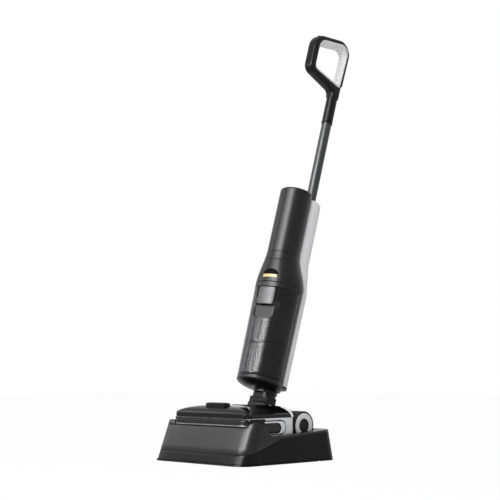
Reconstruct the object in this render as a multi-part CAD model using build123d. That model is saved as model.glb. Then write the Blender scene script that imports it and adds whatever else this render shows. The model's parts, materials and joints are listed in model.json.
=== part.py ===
"""Wet and dry floor scrubber standing in its self-cleaning dock.

Frame: +Z up, origin on the floor at the middle of the dock, the scrubber's front towards -Y.
The upright part is drawn in its own frame, whose origin is the recline pivot: X across, Y from
front to back (called v here) and Z along the leaning axis (called u here).
"""

import math
import os

from build123d import *

# ---- driving dimensions, millimetres and degrees ----

FIT = 0.05              # radial clearance of a running or push fit
GAP = 0.3               # gap between neighbouring mouldings
WALL = 2.5              # wall of the moulded shells

# dock
DOCK_HALF_X = 160.0
DOCK_FRONT_Y = -166.0
DOCK_REAR_Y = 164.5
DOCK_ENVELOPE_H = 110.0
DOCK_SIDE_DRAFT = 0.01      # inwards, per millimetre of height
DOCK_FRONT_DRAFT = 0.395
DOCK_REAR_DRAFT = 0.22
DOCK_CORNER_R = 32.0
DOCK_FRONT_RIM_Z = 86.0
DOCK_EAR = (-112.0, 98.0)   # y, z of the peak of each side ear
DOCK_RIM_LOW = (-58.0, 65.5)
DOCK_REAR_RIM_Z = 80.0
DOCK_SEAM = ((-140.0, 25.0), (-100.0, 37.0), (-36.0, 59.0), (124.0, 69.0))
DOCK_PLATE_T = 4.0
DOCK_WALL_CLEAR = 1.0       # between the head and the pocket, each side
POCKET_REAR_Y = 121.0
TRAY_BOTTOM_Z = 40.0
TRAY_TOP_Z = 49.3
INLET_Y = 96.0
NOTCH_HALF_Y = 5.0          # cable notch in the dock's side
NOTCH_H = 9.0
POST_R = 7.0
POST_RIB_T = 4.0
SCREW_R = 2.0
SCREW_HEAD_R = 4.0
SCREW_HEAD_H = 2.0
PAD_R = 10.0
PAD_T = 2.0
PAD_INSET = 28.0
CONTACT_R = 3.0
CONTACTS = ((-14.0, 12.0), (14.0, 12.0))
FAR = 200.0                 # half size of a cutting block that clears the part

# cleaning head
HEAD_HALF_X = 131.0
HEAD_FRONT_Y = -114.5
HEAD_REAR_Y = 38.0
HEAD_BOTTOM_Z = 54.0
HEAD_TOP_Z = 106.0
HEAD_CORNER_R = 18.0
ROLLER_Y = -75.0
ROLLER_Z = 84.0
ROLLER_R = 34.0
ROLLER_CORE_R = 22.0
ROLLER_HALF_X = HEAD_HALF_X - 19
ROLLER_ROOM = 3.0           # between the roller and its chamber
CHAMBER_HALF_X = HEAD_HALF_X - 14
HOOD_TOP_Z = 136.0
HOOD_FRONT_Y = -120.0
HOOD_REAR_Y = -42.0
HOOD_REAR_HALF_X = 30.0
HOOD_SIDE_Y = -104.0
DECK_TOP_Z = 133.0
BUMPER_FRONT_Y = -126.0
BUMPER_Z = (88.0, 104.0)
BUMPER_INSET = 2.5
MOTOR_Y = -2.0
MOTOR_Z = 83.0
MOTOR_R = 19.0
PULLEY_X = (4 - HEAD_HALF_X, 11 - HEAD_HALF_X)
ROLLER_PULLEY_R = 11.0
MOTOR_PULLEY_R = 8.0
BELT_T = 1.6
BAR_R = 2.9
BAR_BEHIND = ROLLER_R - 5   # spray bar behind the roller's axis
BAR_ABOVE = 2.0
SHAFT_R = 5.0
WHEEL_Y = 80.0
WHEEL_Z = 84.6
WHEEL_R = 35.0
WHEEL_INNER_X = HEAD_HALF_X - 43
WHEEL_OUTER_X = HEAD_HALF_X - 7
TYRE_T = 4.5
TONGUE_HALF_X = HEAD_HALF_X - 55
TONGUE_REAR_Y = 94.0
CAP_TOP_HALF_H = 17.6       # half height of the groove round each side cap
CAP_REAR_Y = 10.3
CAP_RING_T = 6.0            # light ring of a side cap, then the groove up to its dark plate
CAP_GROOVE_TO = 8.5
CAP_GROOVE_DEEP = 1.2
INLET_X = HEAD_HALF_X - 4   # outer end of the dock's power inlet
TROUGH_ROOM = 4.0           # between the roller and the tray
SHELF_Z = 10.0              # the tongue and the ear start this far above the head's underside
REAR_WALL_T = 5.0
REAR_WALL_RISE = 1.5        # of the rear wall over the deck
PLATE_T = 1.5               # wall between the chamber and the side caps
BAY_FLOOR = 4.0
DUCT_HALF_X = 15.5
DUCT_H = 28.0
DUCT_WALL = 2.0
DUCT_Z = HEAD_BOTTOM_Z + 6
YOKE_ROOM = 8.0             # swept clearance round the neck's knuckle
EAR_HALF_Y = 12.0
HOOD_SIDE_Z = 111.0         # where the crowned top of the hood meets its sides
HOOD_SHOULDER_X = 30.0
HOOD_SHOULDER_Y = -72.0
DECK_SHOULDER_X = 64.0
HOOD_LATCH_PAD = (-34.0, 34.0, -104.0, -80.0)
HOOD_LATCH_RISE = 5.5
HOOD_LATCH_FLOOR = 127.5
HOOD_LATCH_RIBS = 11
LATCH_SLIDE_ROOM = 8.0
BLADE_T = 3.0
BLADE_HALF_H = 6.0
NOZZLES = 9
NOZZLE_PITCH = 20.0
HEAD_SCREW_X = (HEAD_HALF_X - 21, HEAD_HALF_X - 61)
HEAD_SCREW_L = 18.0
MOTOR_SHAFT_R = 3.0
HUB_RECESS_R = 16.0
HUB_BOSS_R = 9.0
TYRE_EDGE_R = 2.5

# neck and the leaning frame
PIVOT_Y = 56.0
PIVOT_Z = 128.0
LEAN = 17.0
EAR_HALF_X = 17.0
FORK_HALF_X = 30.0
KNUCKLE_R = 15.0
PIN_R = 4.0
NECK_V = 5.0                # centre of the neck in the leaning frame
SPIGOT_R = 20.0
SPIGOT_TOP_U = 60.0
COLLAR_R = 30.0
COLLAR_U = (33.5, 46.0)
SPIGOT_WALL = 3.0
PIN_HEAD_T = 2.0

# upright body: (u, v of the centre, radius) of the outer skin
CUP_TOP_U = 62.5
TANK_TOP_U = 304.5
SHOULDER_TOP_U = 366.5
WAIST_TOP_U = 389.5
FLARE_TOP_U = 401.0
BODY_TOP_U = 568.0
CUP = (-22.5, 58.5)
TANK = (-23.1, 62.0)
COLUMN = (-34.7, 42.0)
FLARE_STEPS = 5
TOP_ROUND_R = 4.0
SPLIT_V = -2.0              # between the dirty tank and the rear frame
BACK_V = 26.0               # flat back of the dark body
FRONT_TURN = 15.0           # latch and window sit this far round the body's front
LATCH_HALF_X = 25.0
LATCH_U = (244.0, 290.0)
LATCH_SLOT = 2.5            # slot between the latch and its recess, each side
LATCH_TRAVEL = 2.5
SCOOP_BOTTOM_U = 208.0
SCOOP_V = -73.0
SCOOP_CORNER_R = 14.0
LID_H = 14.0
BAR_U = (315.5, 323.5)
WINDOW_TOP_U = 343.0
WINDOW_HALF_X = 22.0
INLAY_DEEP = 1.9
RIM_H = 8.0                 # upright rim of the base cup
INLET_TUBE_V = -50.0
INLET_TUBE_R = 12.0
INLET_TUBE_L = 190.0
INLET_TUBE_WALL = 2.0
FLOAT_R = 9.0
FLOAT_H = 14.0
FLOAT_V = -20.0
FLOAT_U = 262.0
STRAINER_U = 144.0
STRAINER_T = 2.5
STRAINER_HOLES = ((22.0, 10), (32.0, 16))   # ring radius, count
CELL_R = 9.0
CELL_H = 65.0
FILTER_H = 26.0
FILTER_FOLDS = 24

# clean-water tank: (u, half width, back v, corner radius)
CLEAN_SECTIONS = ((52.0, 46.0, 43.0, 22.0), (300.0, 49.0, 43.0, 22.0), (385.0, 36.0, 42.0, 24.0),
                  (561.0, 35.0, 42.0, 24.0))
CLEAN_TOP_ROUND = 14.0
CLEAN_FRONT_V = -12.0
CLEAN_CAP_U = 250.0
CLEAN_CAP_R = 17.0
CLEAN_WALL = 2.0

# pole and handle
POLE_V = 21.8
POLE_R = 13.25
POLE_WALL = 1.3
SOCKET_U = (470.0, 552.0)
SOCKET_WALL = 2.2
POLE_TOP_U = 842.0
POLE_RING_U = (793.0, 797.0)
HANDLE_HALF_X = 15.0
HANDLE_EDGE_R = 3.0
SLEEVE_WALL = 1.4
GRIP_FRONT_V = -95.0
GRIP_TOP = (-95.0, 1008.0)
LOOP_BACK = (44.0, 1049.0)
LOOP_NECK_U = 868.0
LOOP_CORNER_R = 38.0
BUTTON_R = 5.0
BUTTON_ANGLES = (122.0, 147.0)
BUTTON_TRAVEL = 1.2
BUTTON_PROUD = 0.8
BUTTON_DEEP = 5.0

RIM_HEADROOM = 60.0


# ---- helpers ----

def drum(radius, height):
    """An upright cylinder standing on Z = 0."""
    return Cylinder(radius, height, align=(Align.CENTER, Align.CENTER, Align.MIN))


def rod_x(radius, x0, x1, y, z):
    """A cylinder along X between two planes."""
    return Pos((x0 + x1) / 2, y, z) * Rot(0, 90, 0) * Cylinder(radius, x1 - x0)


def rod_y(radius, y0, y1, x, z):
    """A cylinder along Y between two planes."""
    return Pos(x, (y0 + y1) / 2, z) * Rot(90, 0, 0) * Cylinder(radius, y1 - y0)


def block(x0, x1, y0, y1, z0, z1):
    """A box given by its six limits."""
    return Pos((x0 + x1) / 2, (y0 + y1) / 2, (z0 + z1) / 2) * Box(x1 - x0, y1 - y0, z1 - z0)


def slab(x0, x1, y0, y1, radius, z0, z1):
    """An upright rounded rectangle between two heights."""
    plan = Pos((x0 + x1) / 2, (y0 + y1) / 2, z0) * RectangleRounded(x1 - x0, y1 - y0, radius)
    return extrude(plan, amount=z1 - z0)


def side_prism(points, half_x):
    """A polygon in the YZ plane, extruded both ways along X."""
    return extrude(Plane.YZ * make_face(Polyline(*points, close=True)), amount=half_x, both=True)


def plan_prism(points, z0, z1):
    """A polygon in the XY plane, extruded between two heights."""
    return extrude(Pos(0, 0, z0) * make_face(Polyline(*points, close=True)), amount=z1 - z0)


def edges_at(shape, axis, level, tolerance=0.5):
    """The edges whose middle lies at a level of an axis."""
    return [e for e in shape.edges() if abs(getattr(e.center(), axis) - level) < tolerance]


def upright(shape):
    """Carry a shape from the leaning frame to the floor frame."""
    return Pos(0, PIVOT_Y, PIVOT_Z) * Rot(-LEAN, 0, 0) * shape


# ---- dock ----

def dock_plan(z, inset):
    """The dock's rounded outline at a height, drawn in by an inset."""
    half = DOCK_HALF_X - DOCK_SIDE_DRAFT * z - inset
    front = DOCK_FRONT_Y + DOCK_FRONT_DRAFT * z + inset
    rear = DOCK_REAR_Y - DOCK_REAR_DRAFT * z - inset
    return Pos(0, (front + rear) / 2, z) * RectangleRounded(2 * half, rear - front, DOCK_CORNER_R - inset)


def dock_envelope(z0, z1, inset=0.0):
    """The dock's drafted outside between two heights."""
    return loft([dock_plan(z0, inset), dock_plan(z1, inset)], ruled=True)


def rim_cut():
    """Everything above the dock's swept rim."""
    top = DOCK_ENVELOPE_H + RIM_HEADROOM
    ear_y, ear_z = DOCK_EAR
    low_y, low_z = DOCK_RIM_LOW
    front_y = DOCK_FRONT_Y + DOCK_FRONT_DRAFT * DOCK_FRONT_RIM_Z
    edge = [Line((DOCK_FRONT_Y - RIM_HEADROOM, DOCK_FRONT_RIM_Z), (front_y + 5, DOCK_FRONT_RIM_Z)),
            Line((front_y + 5, DOCK_FRONT_RIM_Z), (ear_y, ear_z)),
            Spline((ear_y, ear_z), (ear_y / 2 + low_y / 2, (ear_z + low_z) / 2), (low_y, low_z),
                   (low_y + 40, low_z + 0.5), tangents=[(1, 0.1), (1, 0.06)]),
            Line((low_y + 40, low_z + 0.5), (DOCK_REAR_Y + RIM_HEADROOM, DOCK_REAR_RIM_Z)),
            Line((DOCK_REAR_Y + RIM_HEADROOM, DOCK_REAR_RIM_Z), (DOCK_REAR_Y + RIM_HEADROOM, top)),
            Line((DOCK_REAR_Y + RIM_HEADROOM, top), (DOCK_FRONT_Y - RIM_HEADROOM, top)),
            Line((DOCK_FRONT_Y - RIM_HEADROOM, top), (DOCK_FRONT_Y - RIM_HEADROOM, DOCK_FRONT_RIM_Z))]
    return extrude(Plane.YZ * make_face(edge), amount=DOCK_HALF_X + RIM_HEADROOM, both=True)


def below_seam(shift):
    """Everything below the dock's part line, moved up or down by a shift."""
    far = DOCK_REAR_Y + RIM_HEADROOM
    points = [(y, z + shift) for y, z in DOCK_SEAM]
    low_y, low_z = points[0]
    high_y, high_z = points[-1]
    edge = [Line((-far, low_z), (low_y, low_z)),
            Spline(*points, tangents=[(1, 0), (1, 0.05)]),
            Line((high_y, high_z), (far, high_z)),
            Line((far, high_z), (far, -RIM_HEADROOM)),
            Line((far, -RIM_HEADROOM), (-far, -RIM_HEADROOM)),
            Line((-far, -RIM_HEADROOM), (-far, low_z))]
    return extrude(Plane.YZ * make_face(edge), amount=DOCK_HALF_X + RIM_HEADROOM, both=True)


def pocket(z0, z1, inset=0.0):
    """The space that holds the head, with vertical walls."""
    half = HEAD_HALF_X + DOCK_WALL_CLEAR - inset
    front = HEAD_FRONT_Y - DOCK_WALL_CLEAR + inset
    return slab(-half, half, front, POCKET_REAR_Y - inset, HEAD_CORNER_R + DOCK_WALL_CLEAR - inset, z0, z1)


def post_places():
    """Where the four screw posts of the dock stand."""
    x = HEAD_HALF_X - 22
    return [(sx * x, y) for sx in (-1, 1) for y in (HEAD_FRONT_Y + 24, POCKET_REAR_Y - 45)]


def dock_body():
    """The whole dock wall, before it is parted into base and front cover."""
    body = dock_envelope(DOCK_PLATE_T + GAP, DOCK_ENVELOPE_H) - rim_cut()
    body -= pocket(-1, DOCK_ENVELOPE_H + RIM_HEADROOM)
    half = HEAD_HALF_X - BUMPER_INSET + DOCK_WALL_CLEAR
    body -= slab(-half, half, BUMPER_FRONT_Y - DOCK_WALL_CLEAR, 0, HEAD_CORNER_R + 2 + DOCK_WALL_CLEAR,
                 DOCK_FRONT_RIM_Z, DOCK_ENVELOPE_H + RIM_HEADROOM)
    inner_half = DOCK_HALF_X - DOCK_SIDE_DRAFT * DOCK_REAR_RIM_Z - 4 * WALL
    body -= slab(-inner_half, inner_half, POCKET_REAR_Y + WALL,
                 DOCK_REAR_Y - DOCK_REAR_DRAFT * DOCK_REAR_RIM_Z - WALL, 6, -1, DOCK_RIM_LOW[1] - 3)
    return body


def make_dock_base(body):
    """Lower shell of the dock, with the posts that carry the tray."""
    base = body & below_seam(-GAP / 2)
    for x, y in post_places():
        base += Pos(x, y, DOCK_PLATE_T + GAP) * drum(POST_R, TRAY_BOTTOM_Z - DOCK_PLATE_T - GAP)
        base += block(min(x, math.copysign(HEAD_HALF_X + 3, x)), max(x, math.copysign(HEAD_HALF_X + 3, x)),
                      y - POST_RIB_T / 2, y + POST_RIB_T / 2, DOCK_PLATE_T + GAP, TRAY_BOTTOM_Z - 14)
        base -= Pos(x, y, DOCK_PLATE_T) * drum(SCREW_R, 14)
    return base - cable_notch()


def cable_notch():
    """Notch low in the dock's side, in line with the power inlet."""
    return block(HEAD_HALF_X - 1, DOCK_HALF_X + 5, INLET_Y - NOTCH_HALF_Y, INLET_Y + NOTCH_HALF_Y, -1, NOTCH_H)


def make_dock_front_cover(body):
    """Raked front cover that wraps round into the side ears."""
    return body - below_seam(GAP / 2)


def make_dock_tray():
    """Cleaning tray with the roller trough."""
    tray = pocket(TRAY_BOTTOM_Z, TRAY_TOP_Z, GAP)
    half = ROLLER_HALF_X + TROUGH_ROOM
    tray -= rod_x(ROLLER_R + TROUGH_ROOM, -half, half, ROLLER_Y, ROLLER_Z)
    for x, y in CONTACTS:
        tray -= Pos(x, y, TRAY_BOTTOM_Z - 1) * drum(CONTACT_R + FIT, TRAY_TOP_Z)
    return tray


def make_dock_bottom_plate():
    """Flat bottom plate, with the seats of the four pads and the screw holes."""
    plate = dock_envelope(0, DOCK_PLATE_T)
    for x, y in pad_places():
        plate -= Pos(x, y, -1) * drum(PAD_R, PAD_T + 1)
    for x, y in post_places():
        plate -= Pos(x, y, -1) * drum(SCREW_R + FIT, DOCK_PLATE_T + 2)
        plate -= Pos(x, y, -1) * drum(SCREW_HEAD_R + GAP, SCREW_HEAD_H + 1.2)
    return plate - cable_notch()


def pad_places():
    """Where the four anti-slip pads lie."""
    x, y = DOCK_HALF_X - PAD_INSET, DOCK_REAR_Y - PAD_INSET
    return [(sx * x, sy * y) for sx in (-1, 1) for sy in (-1, 1)]


def make_dock_pads():
    """Four anti-slip pads, flush with the underside."""
    return Compound(children=[Pos(x, y, 0) * drum(PAD_R, PAD_T) for x, y in pad_places()])


def make_dock_contacts():
    """Two charging contacts that stand out of the tray."""
    height = HEAD_BOTTOM_Z - GAP - TRAY_BOTTOM_Z
    return Compound(children=[Pos(x, y, TRAY_BOTTOM_Z) * drum(CONTACT_R, height) for x, y in CONTACTS])


def make_dock_screws():
    """Four screws that hold the bottom plate to the posts."""
    screws = []
    for x, y in post_places():
        head = Pos(x, y, 0.2) * drum(SCREW_HEAD_R, SCREW_HEAD_H)
        screws.append(head + Pos(x, y, SCREW_HEAD_H) * drum(SCREW_R, 12))
    return Compound(children=screws)


def make_dock_power_inlet():
    """Power socket just inside the cable notch, standing on the bottom plate."""
    x0 = INLET_X
    inlet = block(x0 - 18, x0 - 1, INLET_Y - 6, INLET_Y + 6, DOCK_PLATE_T, DOCK_PLATE_T + 11)
    inlet -= rod_x(3.2, x0 - 12, x0, INLET_Y, DOCK_PLATE_T + 5.5)
    return inlet + rod_x(1.0, x0 - 13, x0 - 3, INLET_Y, DOCK_PLATE_T + 5.5)


# ---- cleaning head ----

def cap_profile(grow, x0, x1):
    """The long rounded outline of a side cap, between two planes across X."""
    half = CAP_TOP_HALF_H + grow
    front = ROLLER_Y
    rear = CAP_REAR_Y + grow - half
    body = block(x0, x1, front, rear, ROLLER_Z - half, ROLLER_Z + half)
    body += rod_x(half, x0, x1, front, ROLLER_Z)
    return body + rod_x(half, x0, x1, rear, ROLLER_Z)


def make_scraper_blade():
    """Rubber blade that wipes the back of the roller."""
    y0 = ROLLER_Y + ROLLER_R + 0.4
    half = CHAMBER_HALF_X - 3
    return block(-half, half, y0, y0 + BLADE_T, ROLLER_Z - BLADE_HALF_H, ROLLER_Z + BLADE_HALF_H)


def make_spray_bar():
    """Water bar above the roller, with its nozzles."""
    bar_y = ROLLER_Y + BAR_BEHIND
    bar_z = HEAD_TOP_Z + BAR_ABOVE
    bar = rod_x(BAR_R, -CHAMBER_HALF_X + 10, CHAMBER_HALF_X - 10, bar_y, bar_z)
    for index in range(NOZZLES):
        x = NOZZLE_PITCH * (index - (NOZZLES - 1) / 2)
        bar -= Pos(x, bar_y - BAR_R, bar_z - 1) * Rot(60, 0, 0) * Cylinder(0.6, 4)
    return bar


def chamber():
    """The round chamber that the roller turns in."""
    return rod_x(ROLLER_R + ROLLER_ROOM, -CHAMBER_HALF_X, CHAMBER_HALF_X, ROLLER_Y, ROLLER_Z)


def bar_room(clear):
    """The seat of the spray bar."""
    half = CHAMBER_HALF_X - 10 + GAP
    return rod_x(BAR_R + clear, -half, half, ROLLER_Y + BAR_BEHIND, HEAD_TOP_Z + BAR_ABOVE)


def arched(half, shoulder, low, high, y0, y1):
    """A block whose top falls away past a shoulder on both sides, as a quarter of an ellipse."""
    rise = high - low
    run = half - shoulder
    arc = [(shoulder + run * math.cos(a), low + rise * math.sin(a)) for a in (0.0, 0.4, 0.8, 1.2)]
    right = Spline(*arc, (shoulder, high), tangents=[(0, 1), (-1, 0)])
    left = Spline(*[(-x, z) for x, z in arc], (-shoulder, high), tangents=[(0, 1), (1, 0)])
    foot = low - 60
    edge = [right, left, Line((shoulder, high), (-shoulder, high)), Line((half, low), (half, foot)),
            Line((half, foot), (-half, foot)), Line((-half, foot), (-half, low))]
    return extrude(Pos(0, y1, 0) * Plane.XZ * make_face(edge), amount=y1 - y0)


def rear_wall():
    """Light-coloured wall behind the deck, which follows the deck's arched top."""
    rear = HEAD_REAR_Y + REAR_WALL_T
    wall = arched(HEAD_HALF_X, DECK_SHOULDER_X, HEAD_TOP_Z - 2, DECK_TOP_Z + REAR_WALL_RISE, HEAD_REAR_Y, rear)
    return wall & block(-HEAD_HALF_X, HEAD_HALF_X, HEAD_REAR_Y, rear, HEAD_BOTTOM_Z, DECK_TOP_Z + 5)


def yoke_slot():
    """The room that the neck sweeps through when it reclines."""
    half = FORK_HALF_X + 4
    sweep_r = KNUCKLE_R + YOKE_ROOM
    slot = block(-half, half, PIVOT_Y - sweep_r, TONGUE_REAR_Y + 10, PIVOT_Z - sweep_r + 1, PIVOT_Z + 60)
    return slot + rod_x(sweep_r, -half, half, PIVOT_Y, PIVOT_Z)


def neck_ear():
    """Central ear that the neck's fork straddles."""
    ear = rod_x(KNUCKLE_R, -EAR_HALF_X, EAR_HALF_X, PIVOT_Y, PIVOT_Z)
    foot = HEAD_BOTTOM_Z + SHELF_Z
    return ear + block(-EAR_HALF_X, EAR_HALF_X, PIVOT_Y - EAR_HALF_Y, PIVOT_Y + EAR_HALF_Y, foot, PIVOT_Z)


def make_head_chassis():
    """Light-coloured lower shell: roller chamber, motor bay, wheel tongue and neck ear."""
    body = slab(-HEAD_HALF_X, HEAD_HALF_X, HEAD_FRONT_Y, HEAD_REAR_Y + REAR_WALL_T, HEAD_CORNER_R,
                HEAD_BOTTOM_Z, HEAD_TOP_Z)
    body += rear_wall()
    body += block(-TONGUE_HALF_X, TONGUE_HALF_X, HEAD_REAR_Y, TONGUE_REAR_Y,
                  HEAD_BOTTOM_Z + SHELF_Z, HEAD_TOP_Z - 2)
    body -= chamber()
    body -= block(-CHAMBER_HALF_X, CHAMBER_HALF_X, HEAD_FRONT_Y - 1, ROLLER_Y, HEAD_BOTTOM_Z - 1, ROLLER_Z + 3)
    body -= block(-CHAMBER_HALF_X, CHAMBER_HALF_X, ROLLER_Y - 1, ROLLER_Y + ROLLER_R + ROLLER_ROOM,
                  HEAD_BOTTOM_Z - 1, ROLLER_Z - 20)
    bay_y = ROLLER_Y + ROLLER_R + TROUGH_ROOM * 2
    for x0, x1 in ((-CHAMBER_HALF_X, -20), (20, CHAMBER_HALF_X)):
        body -= block(x0, x1, bay_y, HEAD_REAR_Y - REAR_WALL_T, HEAD_BOTTOM_Z + BAY_FLOOR, HEAD_TOP_Z + 1)
    body -= block(-DUCT_HALF_X - 0.5, DUCT_HALF_X + 0.5, duct_front() - 2, PIVOT_Y - 14, DUCT_Z, HEAD_TOP_Z + 1)
    body -= yoke_slot()
    body += neck_ear()
    body -= rod_x(PIN_R + FIT, -EAR_HALF_X - 1, EAR_HALF_X + 1, PIVOT_Y, PIVOT_Z)
    body -= rod_x(SHAFT_R + FIT, -TONGUE_HALF_X - 1, TONGUE_HALF_X + 1, WHEEL_Y, WHEEL_Z)
    inner_x = CHAMBER_HALF_X + PLATE_T
    outer_x = HEAD_HALF_X + 1
    body -= cap_profile(0, inner_x, outer_x) + cap_profile(0, -outer_x, -inner_x)
    body -= rod_x(SHAFT_R + FIT, -inner_x - 1, inner_x + 1, ROLLER_Y, ROLLER_Z)
    body -= rod_x(SHAFT_R, -inner_x - 1, -CHAMBER_HALF_X + 1, MOTOR_Y, MOTOR_Z)
    body -= make_scraper_blade()
    body -= bar_room(0.1)
    for x in head_screw_places():
        body -= Pos(x, HEAD_REAR_Y - 1, HEAD_BOTTOM_Z - 1) * drum(SCREW_R + FIT, 22)
    return body


def duct_front():
    """Front end of the suction duct, just behind the roller chamber."""
    return ROLLER_Y + ROLLER_R + ROLLER_ROOM + 1


def head_screw_places():
    """Where the screws through the head's underside sit along its rear wall."""
    return [side * x for x in HEAD_SCREW_X for side in (-1, 1)]


def make_head_screws():
    """Four screws in the head's rear wall."""
    return Compound(children=[Pos(x, HEAD_REAR_Y - 1, HEAD_BOTTOM_Z + 1) * drum(SCREW_R, HEAD_SCREW_L)
                              for x in head_screw_places()])


def hood_plan(shift, z0, z1):
    """The hood's outline seen from above, grown or drawn in by a shift."""
    half = HEAD_HALF_X
    front = HOOD_FRONT_Y - 10
    return plan_prism([(-half, front), (half, front), (half, HOOD_SIDE_Y + shift),
                       (HOOD_REAR_HALF_X, HOOD_REAR_Y + shift), (-HOOD_REAR_HALF_X, HOOD_REAR_Y + shift),
                       (-half, HOOD_SIDE_Y + shift)], z0, z1)


def hood_dome(inset, bottom):
    """The hood's crowned block: its top falls away to both sides and to the front."""
    half = HEAD_HALF_X - 3 - inset
    front = HOOD_FRONT_Y + inset
    top = HOOD_TOP_Z - inset
    low = HOOD_SIDE_Z - inset
    body = slab(-half, half, front, HEAD_REAR_Y, HEAD_CORNER_R - inset, bottom, top)
    body &= arched(half, HOOD_SHOULDER_X, low, top, front - 1, HEAD_REAR_Y)
    run = HOOD_SHOULDER_Y - front
    arc = [(HOOD_SHOULDER_Y - run * math.cos(a), low + (top - low) * math.sin(a)) for a in (0.0, 0.4, 0.8, 1.2)]
    far = HEAD_REAR_Y + 1
    edge = [Spline(*arc, (HOOD_SHOULDER_Y, top), tangents=[(0, 1), (1, 0)]),
            Line((HOOD_SHOULDER_Y, top), (far, top)), Line((far, top), (far, bottom - 1)),
            Line((far, bottom - 1), (front, bottom - 1)), Line((front, bottom - 1), (front, low))]
    return body & extrude(Plane.YZ * make_face(edge), amount=HEAD_HALF_X, both=True)


def make_hood():
    """Removable cover over the roller, solid under its latch."""
    bottom = HEAD_TOP_Z + GAP
    x0, x1, y0, y1 = HOOD_LATCH_PAD
    outer = hood_dome(0, bottom) & hood_plan(0, bottom, HOOD_TOP_Z + 1)
    inner = hood_dome(WALL, bottom - 5) & hood_plan(-WALL, bottom - 5, HOOD_TOP_Z)
    inner -= slab(x0 - WALL, x1 + WALL, y0 - WALL, y1 + LATCH_SLIDE_ROOM + WALL, 6, HOOD_LATCH_FLOOR - WALL,
                  HOOD_TOP_Z)
    return outer - inner - latch_room() - chamber() - bar_room(GAP)


def latch_room():
    """Recess in the hood for its sliding latch."""
    x0, x1, y0, y1 = HOOD_LATCH_PAD
    return slab(x0, x1, y0, y1 + LATCH_SLIDE_ROOM, 6, HOOD_LATCH_FLOOR, HOOD_TOP_Z + 2)


def make_hood_latch():
    """Ribbed sliding latch on top of the hood."""
    x0, x1, y0, y1 = HOOD_LATCH_PAD
    top = HOOD_TOP_Z + HOOD_LATCH_RISE
    latch = slab(x0 + GAP, x1 - GAP, y0 + GAP, y1, 6, HOOD_LATCH_FLOOR + 0.1, top)
    pitch = (x1 - x0 - 12) / HOOD_LATCH_RIBS
    for index in range(HOOD_LATCH_RIBS):
        x = x0 + 6 + pitch * (index + 0.5)
        latch -= block(x - 1, x + 1, y0 + 5, y1 - 5, top - 0.8, top + 1)
    return latch


def deck_block(inset, bottom):
    """The deck's block with its arched top."""
    half = HEAD_HALF_X - 3 - inset
    rear = HEAD_REAR_Y - GAP - inset
    body = slab(-half, half, HEAD_FRONT_Y + inset, rear, HEAD_CORNER_R - inset, bottom, DECK_TOP_Z - inset)
    return body & arched(half, DECK_SHOULDER_X, HEAD_TOP_Z + GAP, DECK_TOP_Z - inset, HEAD_FRONT_Y, rear)


def make_head_deck():
    """Black top deck behind the hood, with the pocket for the neck."""
    bottom = HEAD_TOP_Z + GAP
    hollow = deck_block(WALL, bottom - 5) - hood_plan(GAP + WALL, bottom - 6, DECK_TOP_Z + 2)
    deck = deck_block(0, bottom) - hollow - hood_plan(GAP, bottom - 6, DECK_TOP_Z + 2)
    return deck - yoke_slot() - chamber() - bar_room(GAP)


def make_neck_shroud():
    """Black cover over the wheel tongue, open where the neck sweeps back."""
    tongue = slab(-TONGUE_HALF_X, TONGUE_HALF_X, HEAD_REAR_Y + REAR_WALL_T + GAP, TONGUE_REAR_Y, 10,
                  HEAD_TOP_Z - 2 + GAP, PIVOT_Z - 6)
    tongue = fillet(edges_at(tongue, "Z", PIVOT_Z - 6), 8)
    return tongue - yoke_slot() - neck_ear()


def make_front_bumper():
    """Satin bumper strip that wraps the head's front corners."""
    z0, z1 = BUMPER_Z
    half = HEAD_HALF_X - BUMPER_INSET
    outer = slab(-half, half, BUMPER_FRONT_Y, HEAD_REAR_Y, HEAD_CORNER_R + 2, z0, z1)
    strip = outer & block(-half, half, BUMPER_FRONT_Y, HEAD_FRONT_Y + 6, z0, z1)
    return strip - slab(-HEAD_HALF_X, HEAD_HALF_X, HEAD_FRONT_Y - GAP, HEAD_REAR_Y,
                        HEAD_CORNER_R, z0 - 1, z1 + 1)


def make_side_cap(side):
    """Cap over the roller's end: a dark plate in a light groove."""
    inner = CHAMBER_HALF_X + 10.5
    outer = HEAD_HALF_X + 0.3
    cap = cap_profile(-GAP, inner, outer) - cap_profile(-CAP_RING_T, HEAD_HALF_X - CAP_GROOVE_DEEP, outer + 1)
    cap += cap_profile(-CAP_GROOVE_TO, inner, outer)
    return cap if side > 0 else mirror(cap, Plane.YZ)


def make_brush_motor():
    """Motor that drives the roller."""
    motor = rod_x(MOTOR_R, -CHAMBER_HALF_X + 1, -40, MOTOR_Y, MOTOR_Z)
    motor += block(-CHAMBER_HALF_X + 8, -50, MOTOR_Y - 10, MOTOR_Y + 10, HEAD_BOTTOM_Z + 4, MOTOR_Z)
    return motor - rod_x(MOTOR_SHAFT_R + FIT, -CHAMBER_HALF_X, -CHAMBER_HALF_X + 20, MOTOR_Y, MOTOR_Z)


def make_motor_pulley():
    """Motor shaft with its pulley."""
    x0, x1 = PULLEY_X
    shaft = rod_x(MOTOR_SHAFT_R, x1, -CHAMBER_HALF_X + 18, MOTOR_Y, MOTOR_Z)
    return rod_x(MOTOR_PULLEY_R, x0, x1, MOTOR_Y, MOTOR_Z) + shaft


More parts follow.
